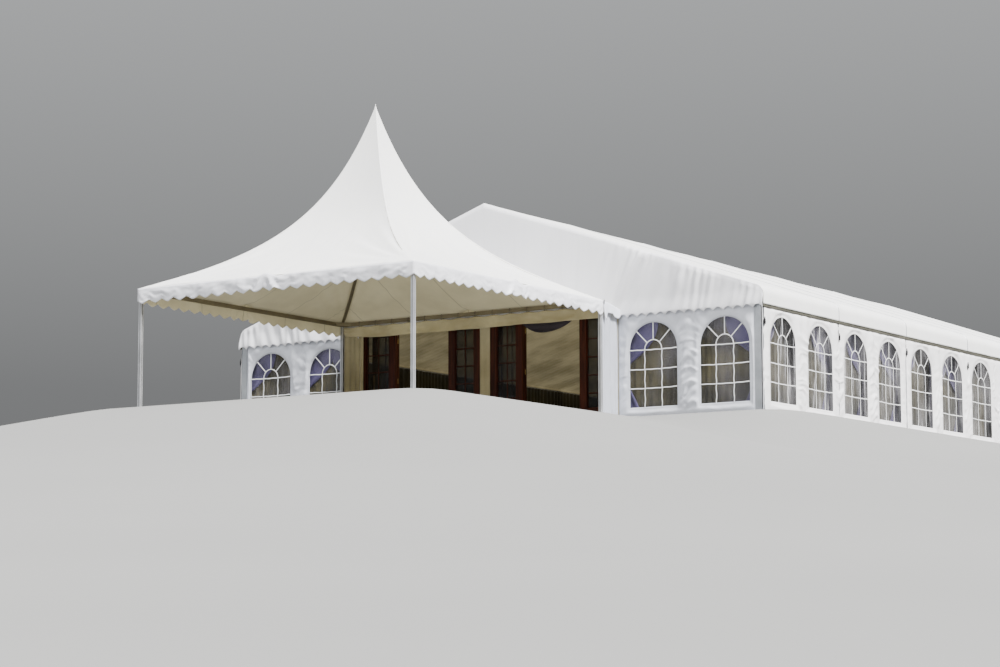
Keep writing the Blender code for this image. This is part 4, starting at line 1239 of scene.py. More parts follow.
def film_for(name, windows, to_world, node, finish="film"):
    """Clear film behind each window of a wall, one arched patch for each."""
    points, faces = [], []
    for centre in windows:
        left, right = centre - FILM_HALF, centre + FILM_HALF
        box = rectangle_points(left, right, 0.0, FILM_TOP_Z, FILM_ACROSS, FILM_UPRIGHT)
        edge = snapped_to_sill([edge_point(centre, point) for point in box], centre)
        first, count = len(points), len(edge)
        for i in range(1, FILM_RINGS + 1):
            for u0, z0 in edge:
                reach = 1.0 + FILM_LAP / math.dist((u0, z0), (centre, WINDOW_MIDDLE_Z))
                share = (i / FILM_RINGS) * reach
                u = centre + (u0 - centre) * share
                z = WINDOW_MIDDLE_Z + (z0 - WINDOW_MIDDLE_Z) * share
                points.append(to_world(u, z, film_wave(u, z) * smooth(reach - share, 0.0, 0.2)))
        hub = len(points)
        points.append(to_world(centre, WINDOW_MIDDLE_Z, film_wave(centre, WINDOW_MIDDLE_Z)))
        for a in range(first, hub - count, count):
            b = a + count
            faces += [(a + j, b + j, b + (j + 1) % count, a + (j + 1) % count) for j in range(count)]
        faces += [(hub, first + j, first + (j + 1) % count) for j in range(count)]
    mesh = bpy.data.meshes.new(name)
    mesh.from_pydata(points, [], faces)
    if sum(face.area * face.normal.dot(face.center - MIDDLE) for face in mesh.polygons) < 0:
        mesh.flip_normals()
    fitted(finished_piece(name, mesh, finish, FILM_THICKNESS), "clear_pvc", node)


# Curtains and lining


PLEAT_STEP = 0.15
PLEAT_DEPTH = 0.013
PLEAT_POINTS = 6
CURTAIN_ROWS = 8


def pleated(name, axis, to_world, node, finish="curtain"):
    """A gathered curtain along the node's X (axis 0) or Y (1), with uneven upright pleats."""
    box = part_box(node)
    left, low, right, high = box[0][axis], box[0].z, box[1][axis], box[1].z
    columns = round((right - left) / PLEAT_STEP * PLEAT_POINTS)
    line = []
    for j in range(columns + 1):
        u = left + (right - left) * j / columns
        phase = 2 * math.pi * (u / PLEAT_STEP + 1.6 * rough(u * 1.1, 3.0))
        line.append((u, PLEAT_DEPTH * math.sin(phase)))
    along = lengths_along(line)

    def spot(i, j):
        u, fold = line[j]
        share = i / CURTAIN_ROWS
        z = low + (high - low) * share
        spread = 0.75 + 0.25 * math.sin(share * 3.0 + u)
        return to_world(u, z, fold * spread), (along[j], z)

    points, cut = grid(CURTAIN_ROWS, columns, spot)
    piece = sheet_piece(name, points, cut, finish, thickness=CLOTH_THICKNESS)
    fitted(piece, "curtain_voile", node)


SWAG_TOP_Z = 1.93
SWAG_TIE_Z = 0.88
SWAG_HEM_Z = 0.05
SWAG_LENGTH = SWAG_TOP_Z - SWAG_HEM_Z
SWAG_TIE_SHARE = (SWAG_TOP_Z - SWAG_TIE_Z) / SWAG_LENGTH
SWAG_ROWS = 22
SWAG_COLUMNS = 13
SWAG_OUTER = 0.02
SWAG_SAG = 0.10
SWAG_FOLD = 0.010


def swag_half(centre, side, number, to_world):
    """Grid of one curtain half, drawn from the window's middle back to its tie."""
    wide = 0.82 + 0.16 * rough(number * 3.1, side * 5.0)

    def spot(i, j):
        drop, share = i / SWAG_ROWS, j / SWAG_COLUMNS
        if drop < SWAG_TIE_SHARE:
            narrow = smooth(drop, 0.0, SWAG_TIE_SHARE) ** 1.7
        else:
            narrow = 1.0 - 0.45 * smooth(drop, SWAG_TIE_SHARE, 1.0)
        inner = wide * (1.0 - 0.88 * narrow)
        u = centre + side * (WINDOW_STEP / 2 - SWAG_OUTER - (inner - SWAG_OUTER) * share)
        sag = SWAG_SAG * share * math.sin(math.pi * min(drop / SWAG_TIE_SHARE, 1.0))
        fold = SWAG_FOLD * math.sin(j * 1.25 + number) * (0.4 + 0.6 * narrow)
        place = (share * wide * 1.5, drop * SWAG_LENGTH)
        return to_world(u, SWAG_TOP_Z - SWAG_LENGTH * drop - sag, fold), place

    return grid(SWAG_ROWS, SWAG_COLUMNS, spot)


# which sides of each window have a curtain drawn back, in turn along the wall
SIDE_SWAGS = ((-1,), (1,), (-1, 1), (1,), (-1,), (-1, 1))
FRONT_SWAGS = {"left": ((-1,), (-1, 1)), "right": ((-1,), (1,))}
BOTH_SIDES = ((-1, 1),)


def swags_for(name, windows, to_world, pattern=BOTH_SIDES, finish="swag"):
    """Tied-back curtains between the window and the pleated curtain."""
    for number, centre in enumerate(windows):
        for side in pattern[number % len(pattern)]:
            points, cut = swag_half(centre, side, number, to_world)
            label = f"{name}_{number + 1}_{'left' if side < 0 else 'right'}"
            piece = sheet_piece(label, points, cut, finish, thickness=CLOTH_THICKNESS)
            fitted(piece, "curtain_voile")
            area = cloth_area(points)


LINING_PLEAT_STEP = 0.20
LINING_PLEAT_DEPTH = 0.024
LINING_PLEAT_POINTS = 7
LINING_EAVE_Z = 2.06
LINING_STEPS = 12
LINING_SAG = 0.05
# how far it keeps from its solid at the sides, the ridge and the two ends
LINING_SIDE_GAP, LINING_RIDGE_GAP, LINING_END_GAP = 0.006, 0.035, 0.01


def roof_lining():
    """Ruched ivory lining under the rafters, its pleats running from eave to ridge."""
    low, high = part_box("roof_lining")
    side = high.x - LINING_SIDE_GAP
    ridge_z = high.z - LINING_RIDGE_GAP
    half = [(side, low.z), (side, (low.z + LINING_EAVE_Z) / 2), (side, LINING_EAVE_Z)]
    for i in range(1, LINING_STEPS + 1):
        share = i / LINING_STEPS
        sag = LINING_SAG * math.sin(math.pi * share)
        half.append((side * (1 - share), LINING_EAVE_Z + (ridge_z - LINING_EAVE_Z) * share - sag))
    line = half + [(-x, z) for x, z in reversed(half[:-1])]
    down = lengths_along(line)
    last = len(line) - 1
    start, end = low.y + LINING_END_GAP, high.y - LINING_END_GAP
    columns = round((end - start) / LINING_PLEAT_STEP * LINING_PLEAT_POINTS)

    def spot(i, j):
        x, z = line[i]
        y = start + (end - start) * j / columns
        phase = 2 * math.pi * y / LINING_PLEAT_STEP + 2.2 * rough(y * 0.8, i * 0.05)
        fold = LINING_PLEAT_DEPTH * math.sin(phase) * smooth(min(i, last - i), 1.0, 3.0)
        fold *= 0.6 + 0.8 * abs(rough(y * 1.3, 2.0))
        return (x, y, z - abs(fold) * 1.4 - fold * 0.5), (y, down[i])

    points, cut = grid(last, columns, spot)
    piece = sheet_piece("lining_roof", points, cut, "lining", thickness=CLOTH_THICKNESS)
    fitted(piece, "lining_cloth", "roof_lining")


# Canopy


def canopy_z(half_side):
    """Height of the concave slope where the canopy is this wide."""
    share = half_side / CANOPY_HALF
    peak = math.exp(-CANOPY_PEAK_RATE * share) - math.exp(-CANOPY_PEAK_RATE)
    return CANOPY_EAVE_Z + CANOPY_SLOPE_RISE * (1 - share) + CANOPY_PEAK_RISE * peak


def canopy_place(side_number, along, out, z):
    """A point of the canopy, from its place along and out from one side."""
    turn = Matrix.Rotation(math.pi / 2 * side_number, 4, "Z")
    return turn @ Vector((along, -out, z)) + Vector((0.0, CANOPY_Y, 0.0))


CANOPY_SADDLE = 0.085
CANOPY_SAG = 0.035
CANOPY_SWELL = 0.012
KICK_RISE = 0.050
KICK_HALF = 0.11
KICK_PLACES = (-0.10, 0.05, 0.0, 0.0)
# the dip beside it: its share of the rise, how far along and half its width
DIP_SHARE, DIP_RUN, DIP_HALF = 0.40, 0.27, 0.14
CORNER_FAN = 0.014
KICK_FAN = 0.010


def kick(side_number, along):
    """Small peak where the hem is pulled up half way along a side, with a dip beside it."""
    run = along - KICK_PLACES[side_number]
    peak = math.exp(-((run / KICK_HALF) ** 2))
    return KICK_RISE * (peak - DIP_SHARE * math.exp(-(((run - DIP_RUN) / DIP_HALF) ** 2)))


def canopy_point(side_number, u, share):
    """A point on one slope of the canopy: u from corner to corner, share from tip to eave."""
    half_side = CANOPY_TIP + (CANOPY_HALF - CANOPY_TIP) * share
    middle = 1.0 - u * u
    free = math.sin(math.pi * min(max(share, 0.0), 1.0)) ** 0.8
    out = half_side - CANOPY_SADDLE * middle * free * smooth(share, 0.0, 0.35)
    z = canopy_z(half_side) - CANOPY_SAG * middle * free
    along = u * half_side
    up = (1.0 - share) * CANOPY_HALF
    # creases fan out from each corner and fade up the slope
    for end in (-1, 1):
        angle = math.atan2(up, abs(end - u) * half_side + 1e-6)
        far = math.hypot(abs(end - u) * half_side, up)
        fan = math.sin(angle * 15.0 + end * side_number) * CORNER_FAN
        fan += math.sin(angle * 31.0 + 2.0 * end) * CORNER_FAN * 0.4
        z += fan * smooth(far, 0.05, 0.5) * (1.0 - smooth(far, 0.9, 2.3)) * smooth(1.0 - share, 0.0, 0.04)
    # and others from the kick in the middle of the hem
    run = along - KICK_PLACES[side_number]
    angle = math.atan2(up, run)
    far = math.hypot(run, up)
    fan = KICK_FAN * math.cos(angle * 11.0) * smooth(far, 0.05, 0.25) * (1.0 - smooth(far, 0.35, 1.0))
    z += fan * smooth(1.0 - share, 0.0, 0.03)
    z += kick(side_number, along) * smooth(share, 0.93, 1.0)
    swell = CANOPY_SWELL * rough(along * 0.9, half_side * 1.4, side_number)
    z += swell * smooth(share, 0.2, 0.4) * smooth(1.0 - share, 0.0, 0.12) * middle
    return canopy_place(side_number, along, out, z)


CANOPY_COLUMNS = 84
CANOPY_ROWS = 46
TIP_ROWS = 4
TIP_POINT = 0.002


def canopy_cover():
    """The canopy's four slopes, drawn up to a sharp tip."""
    tip_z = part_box("canopy_finial")[1].z
    sides = [(side, -1.0 + 2.0 * j / CANOPY_COLUMNS) for side in range(4) for j in range(CANOPY_COLUMNS)]
    points, cut = [], []
    for i in range(TIP_ROWS):
        half_side = TIP_POINT + (CANOPY_TIP - TIP_POINT) * (i / TIP_ROWS) ** 1.3
        z = tip_z + (canopy_z(CANOPY_TIP) - tip_z) * i / TIP_ROWS
        points.append([tuple(canopy_place(side, u * half_side, half_side, z)) for side, u in sides])
        cut.append([(0.0, z - tip_z)] * (len(sides) + 1))
    shares = [(i / CANOPY_ROWS) ** 1.5 for i in range(CANOPY_ROWS + 1)]
    halves = [CANOPY_TIP + (CANOPY_HALF - CANOPY_TIP) * share for share in shares]
    slants = lengths_along([(half_side, canopy_z(half_side)) for half_side in halves])
    for share, half_side, slant in zip(shares, halves, slants):
        points.append([tuple(canopy_point(side, u, share)) for side, u in sides])
        cut.append([(abs(u) * half_side, slant) for _, u in sides] + [(half_side, slant)])
    points, cut = np.array(points), np.array(cut)
    piece = sheet_piece("canopy_cover", points, cut, "canopy", CANOPY_MIDDLE, closed=True, inside="under")
    fitted(piece, "roof_pvc", "canopy_roof", "canopy_finial")
    halves = np.linspace(CANOPY_TIP, CANOPY_HALF, 60)
    steps = zip(halves[:-1], halves[1:])
    area = 4 * sum(math.dist((a, canopy_z(a)), (b, canopy_z(b))) * (a + b) for a, b in steps)


VALANCE_ROWS = 10
PUSHED_DEPTH = 0.055
PUSHED_MIDDLE = 0.030
VALANCE_FAN = 0.009
VALANCE_DRAPE = 0.017
VALANCE_CRUMPLE = 0.024
FINE_CRUMPLE = 0.006


def valance_fold(side_number, along, drop):
    """How far the valance stands out: a pushed fold under the kick, fans at the corners, crumples."""
    run = abs(along - KICK_PLACES[side_number])
    spread = 0.05 + 0.17 * drop
    pushed = PUSHED_DEPTH * math.exp(-(((run - spread) / 0.055) ** 2)) * (0.3 + 0.7 * drop)
    pushed += PUSHED_MIDDLE * math.exp(-((run / 0.16) ** 2)) * drop
    end = CANOPY_HALF - abs(along)
    angle = math.atan2(drop * 0.28, end + 0.02)
    fan = VALANCE_FAN * (1.0 + math.sin(angle * 17.0 + side_number))
    fan *= math.exp(-end / 0.55) * smooth(end, 0.0, 0.12)
    slope = along + 0.22 * drop * math.copysign(1.0, along)
    drape = VALANCE_DRAPE * (1.0 + math.sin(slope * 7.4 + 2.2 * rough(along * 0.8, side_number * 3.0)))
    drape *= 0.5 + 0.5 * abs(rough(along * 0.7, side_number * 5.0, 2.0))
    wander = along * 4.6 + 2.0 * rough(along, drop)
    crumple = VALANCE_CRUMPLE * abs(rough(wander, drop * 2.1, side_number * 9.0))
    crumple += FINE_CRUMPLE * abs(rough(along * 11.0, drop * 3.6, side_number * 4.0))
    crumple *= 1.0 + 1.2 * math.exp(-((run / 0.5) ** 2))
    return (pushed + drape + fan) * smooth(drop, 0.0, 0.45) + crumple * smooth(drop, 0.0, 0.15)


def canopy_valance(side_number, label):
    """Scalloped valance on one side; only a plain hem at the back."""
    columns = CANOPY_SCALLOPS * SCALLOP_STEPS
    plain = label == "back"

    def spot(i, j):
        share, drop = j / columns, i / VALANCE_ROWS
        u = -1.0 + 2.0 * share
        along = u * CANOPY_HALF
        top = canopy_point(side_number, u, 1.0).z
        low = CANOPY_EAVE_Z - CANOPY_HEM_DEPTH
        fold = 0.0
        if not plain:
            low = CANOPY_HEM_Z + CANOPY_SCALLOP_DEPTH * (1.0 - lobe(CANOPY_SCALLOPS * share, 0.6))
            low += 0.35 * kick(side_number, along)
            fold = valance_fold(side_number, along, drop) * smooth(1.0 - abs(u), 0.0, 0.03)
        z = top + (low - top) * drop
        return canopy_place(side_number, along, CANOPY_HALF + fold, z), (along, z)

    points, cut = grid(VALANCE_ROWS, columns, spot)
    piece = sheet_piece(f"canopy_valance_{label}", points, cut, "valance", CANOPY_MIDDLE, inside="under")
    fitted(piece, "roof_pvc")


GUTTER_ROWS = 16
GUTTER_COLUMNS = 60
GUTTER_LIP = 0.05


def link_gutter():
    """The sheet that sags between the canopy's back edge and the gable, and drains them both."""
    low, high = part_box("link_gutter")

    def spot(i, j):
        belly = math.sin(math.pi * i / GUTTER_ROWS)
        y = low.y + (high.y - low.y) * i / GUTTER_ROWS
        x = low.x + (high.x - low.x) * j / GUTTER_COLUMNS
        sag = (high.z - low.z - GUTTER_LIP) * belly**0.8
        wave = 0.006 * rough(x * 2.0, y * 4.0, 6.0) * belly
        return (x, y, high.z - GUTTER_LIP * 0.4 - sag + wave), (x, y)

    points, cut = grid(GUTTER_ROWS, GUTTER_COLUMNS, spot)
    piece = sheet_piece("gutter_sheet", points, cut, "roof", (0, (low.y + high.y) / 2, -5.0))
    fitted(piece, "roof_pvc", "link_gutter")


FLAP_TIES = 15
FLAP_ROWS = 12
FLAP_TIE_STEPS = 12
FLAP_SLACK = 0.022
FLAP_DROOP = 0.050
FLAP_WAVE = 0.045
FLAP_RIPPLE = 0.030
FLAP_PULL = 0.034
# how far its edges keep from the solid's top and foot
FLAP_TOP_GAP, FLAP_FOOT_GAP = 0.014, 0.012
TIE_RADIUS = 0.0035
TIE_DROP = 0.020
KNOT = ((0.006, -0.003), (0.012, -0.0025), (0.012, 0.0025), (0.006, 0.003))


def back_flap():
    """Loose flap laced to the back beam: it scallops between its ties, with a wavy lower edge."""
    low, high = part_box("back_flap")
    y = (low.y + high.y) / 2
    top_z = high.z - FLAP_TOP_GAP
    columns = FLAP_TIES * FLAP_TIE_STEPS

    def spot(i, j):
        share, drop = j / columns, i / FLAP_ROWS
        x = low.x + (high.x - low.x) * share
        slack = FLAP_SLACK * math.sin(math.pi * share * FLAP_TIES) ** 2
        pull = abs(math.cos(math.pi * share * FLAP_TIES)) ** 3
        droop = FLAP_DROOP * math.exp(-(((x - low.x) / 0.45) ** 2)) + 0.016 * rough(x * 1.3, 1.0)
        z = top_z - slack * (1.0 - drop) - (top_z - low.z - FLAP_FOOT_GAP - droop) * drop
        wave = FLAP_WAVE * rough(x * 1.9, drop * 1.2, 8.0) + FLAP_RIPPLE * rough(x * 5.5, drop * 2.5, 5.0)
        out = wave * smooth(drop, 0.0, 0.4)
        out += FLAP_PULL * pull * math.exp(-drop / 0.45) * smooth(drop, 0.0, 0.1)
        return (x, y - out, z), (x, z)

    points, cut = grid(FLAP_ROWS, columns, spot)
    piece = sheet_piece("laced_flap", points, cut, "flap", (0, 5.0, 2.0), thickness=CLOTH_THICKNESS)
    fitted(piece, "lining_cloth", "back_flap")
    tie = Shape()
    front, back = RING_HIGH.y - RING_WIDTH - 0.005, RING_HIGH.y + 0.005
    over, under = RING_HIGH.z + 0.005, top_z - TIE_DROP
    route = [(front, top_z), (front, over), (back, over), (back, top_z), (y, under)]
    tie.tube([(0.0, *point) for point in route], TIE_RADIUS, 6, closed=True)
    tie.turned(KNOT, (0.0, y, under), "Y", 10)
    step = (high.x - low.x) / FLAP_TIES
    places = [(low.x + step * i, 0.0, 0.0) for i in range(1, FLAP_TIES)]
    row_piece("flap_ties", tie, places, "cord", "olive_rail")


LINK_FRONT = RING_HIGH.y - 0.008
LINK_BACK = -0.040
LINK_TOP_Z = 2.045
LINK_FOOT_Z = 0.03
LINK_ROWS = 26
LINK_COLUMNS = 30
LINK_INSET = 0.035
LINK_FOLD_STEP = 0.19
LINK_FOLD = 0.020
LINK_WAVE = 0.016
LINK_LEAN = 0.030
LINK_CRUMPLE = 0.020


def link_panel(label, side):
    """White panel that closes the gap between the canopy's back leg and the gable, given a darker blue-grey
    outside and khaki within: painted shade under the canopy.
    """
    line = []
    for j in range(LINK_COLUMNS + 1):
        y = LINK_FRONT + (LINK_BACK - LINK_FRONT) * j / LINK_COLUMNS
        fold = LINK_FOLD * math.sin(2 * math.pi * y / LINK_FOLD_STEP + side)
        fold += LINK_WAVE * rough(y * 4.0, side * 2.0)
        line.append((y, fold))
    along = lengths_along(line)

    def spot(i, j):
        share, drop = j / LINK_COLUMNS, i / LINK_ROWS
        y, fold = line[j]
        top = LINK_TOP_Z - 0.10 * smooth(share, 0.5, 0.9)
        z = top + (LINK_FOOT_Z - top) * drop
        # gathered at the top, with a fold that leans to the wall's foot
        loose = 0.55 + 0.45 * smooth(drop, 0.0, 0.6)
        lean = LINK_LEAN * math.exp(-(((share - 0.80 + 0.25 * drop) / 0.10) ** 2))
        crumple = LINK_CRUMPLE * abs(rough(y * 6.0, z * 2.6, side * 7.0))
        hold = smooth(share, 0.0, 0.10) * smooth(1.0 - share, 0.0, 0.06)
        out = CANOPY_HALF - LINK_INSET + (fold * loose + lean + crumple) * hold
        return (side * out, y, z), (along[j], z)

    points, cut = grid(LINK_ROWS, LINK_COLUMNS, spot)
    middle = (0.0, LINK_BACK, 1.0)
    name = f"link_panel_{label}"
    piece = sheet_piece(name, points, cut, "link", middle, thickness=CLOTH_THICKNESS, inside="flap")
    fitted(piece, "wall_pvc")
    cloth_area(points)


LINK_HEM_Z = 1.93
# two lobes of its hem: where each starts, how long and how deep it is
CORNER_LOBE = (-0.585, 0.115, 0.14)
WIDE_LOBE = (-0.31, 0.27, 0.075)
LINK_VALANCE_ROWS = 8
LINK_VALANCE_COLUMNS = 44
LINK_VALANCE_SLANT = 0.115
LINK_VALANCE_FLARE = 0.05


def link_hem(y):
    """A deep lobe beside the canopy's corner, a gap, then a wide lobe that meets the gable's."""
    start, length, depth = CORNER_LOBE
    if y < start + length:
        return LINK_HEM_Z - depth * math.sin(math.pi * min(max((y - start) / length, 0.0), 1.0)) ** 0.7
    start, length, depth = WIDE_LOBE
    return LINK_HEM_Z - depth * math.sin(math.pi * min(max((y - start) / length, 0.0), 1.0))


def link_valance(label, side):
    """White valance at the end of the gutter, its top slanting down to the gable's hem; painted shade gives
    it the gable walls' darker tone outside and the canopy's dim khaki underside within.
    """
    gutter_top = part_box("link_gutter")[1].z + 0.012

    def spot(i, j):
        share, drop = j / LINK_VALANCE_COLUMNS, i / LINK_VALANCE_ROWS
        y = LINK_FRONT + 0.012 + (LINK_BACK - 0.020 - LINK_FRONT) * share
        top = gutter_top - LINK_VALANCE_SLANT * share**1.6
        z = top + (link_hem(y) - top) * drop
        fold = 0.010 * (1.0 + math.sin(y * 31.0)) * drop + 0.008 * drop
        out = CANOPY_HALF - 0.004 + LINK_VALANCE_FLARE * share**1.3 + fold
        return (side * out, y, z), (y, z)

    points, cut = grid(LINK_VALANCE_ROWS, LINK_VALANCE_COLUMNS, spot)
    middle = (0.0, LINK_BACK, 2.0)
    name = f"link_valance_{label}"
    piece = sheet_piece(name, points, cut, "front_wall", middle, thickness=CLOTH_THICKNESS, inside="under")
    fitted(piece, "roof_pvc")
    cloth_area(points)


STRIP_ROWS = 14
STRIP_STEP = 0.025
STRIP_FOLD = 0.006
STRIP_CRUMPLE = 0.005


def wall_strip(name, left, right, low, high, *nodes):
    """Strip of wall beside a door frame, with soft upright folds, painted khaki for the shade under the
    canopy.
    """
    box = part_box("front_wall_centre")
    y = (box[0].y + box[1].y) / 2
    columns = max(round((right - left) / STRIP_STEP), 4)

    def spot(i, j):
        x = left + (right - left) * j / columns
        z = low + (high - low) * i / STRIP_ROWS
        ends = smooth(j / columns, 0.0, 0.12) * smooth(1.0 - j / columns, 0.0, 0.12)
        fold = STRIP_FOLD * (1.0 + math.sin(x * 46.0 + 1.5 * rough(x, z * 0.8)))
        fold += STRIP_CRUMPLE * abs(rough(x * 6.0, z * 2.2))
        return (x, y - fold * ends, z), (x, z)

    points, cut = grid(STRIP_ROWS, columns, spot)
    # painted shade: the white wall here gets the khaki flap's colour for the shade under the canopy
    piece = sheet_piece(name, points, cut, "flap", thickness=CLOTH_THICKNESS)
    fitted(piece, "wall_pvc", *nodes)


def centre_wall():
    """The wall round the doors: a header over them and strips of cloth beside them."""
    low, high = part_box("front_wall_centre")
    head = DOOR_HIGH.z + 0.001
    wall_strip("door_header", low.x, high.x, head, high.z, "front_wall_centre")
    wall_strip("strip_between_doors", -DOOR_LOW.x, DOOR_LOW.x, low.z, head)
    wall_strip("strip_left", low.x, -DOOR_HIGH.x, low.z, head)
    wall_strip("strip_right", DOOR_HIGH.x, high.x, low.z, head)


# Doors


GLASS_THICKNESS = 0.006
GLASS_BITE = 0.004
BEAD = 0.010
BEAD_DEPTH = 0.026
GLAZING_BAR = 0.020
GLAZING_BAR_HEIGHTS = (0.53, 0.87, 1.21, 1.55)
HANDLE_Z = 1.02
HANDLE_LENGTH = 0.20
HANDLE_PROUD = 0.036
HANDLE_RADIUS = 0.008
PLATE_WIDTH = 0.05
PLATE_THICKNESS = 0.003
PLATE_HALF = 0.15
LOCK_DROP = 0.19
DOOR_SET_DEPTH = 0.09
ROSE = ((0.017, -0.001), (0.017, 0.003), (0.013, 0.006), (0.009, 0.007))
OUTER_LOCK = ((0.014, -0.001), (0.014, 0.004), (0.010, 0.006), (0.004, 0.0065))
INNER_LOCK = ((0.014, 0.001), (0.014, -0.003), (0.010, -0.005), (0.004, -0.0055))
SCREW = ((0.0038, 0.001), (0.0038, -0.0008), (0.002, -0.0018))


def set_lights(side):
    """Fixed lights of one door frame: (x from, x to, z from, z to)."""
    centre = GABLE_BAY / 2
    rim = DOOR_POST + DOOR_STILE
    half = DOORWAY_WIDTH / 2
    top = DOOR_HIGH.z - DOOR_HEAD - LIGHT_HEAD
    spans = ((DOOR_LOW.x + rim, centre - half - rim), (centre + half + rim, DOOR_HIGH.x - DOOR_POST))
    return [(*sorted((side * a, side * b)), LIGHT_SILL, top) for a, b in spans]


def leaf_span(node, hinge_x):
    """Free edge and hinged edge of a leaf, without its hinges."""
    low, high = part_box(node)
    free = low.x if abs(low.x - hinge_x) > abs(high.x - hinge_x) else high.x
    return free, hinge_x + math.copysign(LEAF_GAP, free - hinge_x)


def glazed(label, lights, y, body):
    """Glass of these lights, and their beads and glazing bars."""
    glass, wood = Shape(), Shape()
    half, half_bar = GLASS_THICKNESS / 2, GLAZING_BAR / 2
    near, far = y - BEAD_DEPTH / 2, y + BEAD_DEPTH / 2
    for x0, x1, z0, z1 in lights:
        glass.bar(
            (x0 - GLASS_BITE, y - half, z0 - GLASS_BITE), (x1 + GLASS_BITE, y + half, z1 + GLASS_BITE), 0.001
        )
        middle = (x0 + x1) / 2
        for a, b in ((x0, x0 + BEAD), (x1 - BEAD, x1), (middle - half_bar, middle + half_bar)):
            wood.bar((a, near, z0), (b, far, z1), 0.003)
        across = [(z, BEAD / 2) for z in (z0 + BEAD / 2, z1 - BEAD / 2)]
        across += [(z, half_bar) for z in GLAZING_BAR_HEIGHTS]
        for z, reach in across:
            wood.bar((x0, near + 0.001, z - reach), (x1, far - 0.001, z + reach), 0.003)
    rigid_piece(f"glass_{label}", glass.mesh("glass"), "glass", "door_wood", body)
    rigid_piece(f"glazing_bars_{label}", wood.mesh("bars"), "wood", "door_wood", body)


def door_furniture(label, free_x, hinge_x, near, far, body):
    """A pull on the leaf's outer face, a push plate on the other, and a lock below both."""
    x = free_x + math.copysign(LEAF_STILE / 2, hinge_x - free_x)
    brass = Shape()
    half = HANDLE_LENGTH / 2
    bend = HANDLE_RADIUS * 2
    route = [(far - 0.002, -half), (far + HANDLE_PROUD - bend, -half), (far + HANDLE_PROUD, bend - half)]
    route += [(y, -z) for y, z in reversed(route)]
    brass.tube([(x, y, HANDLE_Z + z) for y, z in route], HANDLE_RADIUS, 12)
    for z in (HANDLE_Z - half, HANDLE_Z + half):
        brass.turned(ROSE, (x, far, z), "Y", 16)
    half_plate, plate_y = PLATE_WIDTH / 2, near - PLATE_THICKNESS
    low = (x - half_plate, plate_y, HANDLE_Z - PLATE_HALF)
    brass.bar(low, (x + half_plate, near + 0.001, HANDLE_Z + PLATE_HALF), 0.0012)
    brass.turned(OUTER_LOCK, (x, far, HANDLE_Z - LOCK_DROP), "Y", 14)
    brass.turned(INNER_LOCK, (x, near, HANDLE_Z - LOCK_DROP), "Y", 14)
    for side in (-1, 1):
        for end in (-1, 1):
            place = (x + side * (half_plate - 0.008), plate_y, HANDLE_Z + end * (PLATE_HALF - 0.01))
            brass.turned(SCREW, place, "Y", 8)
    rigid_piece(f"furniture_{label}", brass.mesh("furniture"), "brass", "door_wood", body)


def make_doors():
    """Glass, glazing bars and handles of both door frames and their four leaves."""
    for label, side in SIDES:
        glazed(f"set_{label}", set_lights(side), DOOR_LOW.y + DOOR_SET_DEPTH / 2, "marquee")
        for hand in ("left", "right"):
            name = f"{label}_{hand}"
            node, body = f"door_leaf_{name}", f"door_{name}"
            hinge_x = JOINTS[body][0]
            free, hinged = leaf_span(node, hinge_x)
            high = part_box(node)[1]
            near, far = high.y - LEAF_THICKNESS, high.y
            x0, x1 = sorted((free, hinged))
            light = (x0 + LEAF_STILE, x1 - LEAF_STILE, LIGHT_SILL, high.z - LEAF_STILE)
            glazed(f"leaf_{name}", [light], (near + far) / 2, body)
            door_furniture(name, free, hinge_x, near, far, body)


# Side posts, keder tracks and other small metal parts


POST_STRIP = 0.055
POST_STRIP_PROUD = 0.010
RATCHET_Z = 1.61
TRACK_WIDTH = 0.026
TRACK_PROUD = 0.005
PLATE_TOP_Z = 0.012
WASHER_THICKNESS = 0.003
LEG_HALF = 0.03
GROOVE_HALF = 0.006
GROOVE_FOOT_Z = 0.014
# bolts through a foot plate: washer and hole, head and its top (radii), and the head's height
LEG_BOLT = ((0.016, 0.010), (0.0095, 0.006), 0.009)
LEG_BOLT_PLACES = (-0.075, 0.075)
PORTAL_BOLT = ((0.018, 0.011), (0.011, 0.007), 0.010)
PORTAL_BOLT_PLACES = (-0.085, 0.085)
PORTAL_BOLT_INSETS = (0.235, 0.175)
# the ratchet's spool: (radius, height)
SPOOL = ((0.005, 0.0), (0.013, 0.002), (0.013, 0.006), (0.009, 0.008))
SPOOL += ((0.009, 0.052), (0.013, 0.054), (0.013, 0.058), (0.005, 0.060))


def side_post_strip(side):
    """Cover strip of one portal's leg, over the joint of two walls."""
    strip = Shape()
    foot, top = 0.03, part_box("eave_rail_right")[0].z - 0.006
    for half, proud in ((POST_STRIP / 2, POST_STRIP_PROUD * 0.6), (POST_STRIP * 0.22, POST_STRIP_PROUD)):
        near, far = sorted((side * (WALL_OUT - 0.001), side * (WALL_OUT + proud)))
        strip.bar((near, -half, foot), (far, half, top), 0.002)
    return strip


def ratchet(side):
    """Ratchet with its strap, which pulls the roof down to the leg."""
    shape = Shape()
    face = WALL_OUT + POST_STRIP_PROUD
    strap_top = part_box("eave_rail_right")[0].z - RATCHET_Z
    for x0, x1, y0, y1, z0, z1, chamfer in (
        (0.002, 0.034, -0.021, -0.018, -0.045, 0.045, 0.001),
        (0.002, 0.034, 0.018, 0.021, -0.045, 0.045, 0.001),
        (0.010, 0.016, -0.018, 0.018, -0.075, 0.015, 0.002),
        (0.022, 0.030, -0.016, 0.016, -0.01, 0.085, 0.003),
        (0.004, 0.006, -0.0125, 0.0125, 0.02, strap_top, 0.0005),
    ):
        near, far = sorted((side * (face + x0), side * (face + x1)))
        shape.bar((near, y0, RATCHET_Z + z0), (far, y1, RATCHET_Z + z1), chamfer)
    shape.turned(SPOOL, (side * (face + 0.018), -0.030, RATCHET_Z), "Y", 12)
    return shape


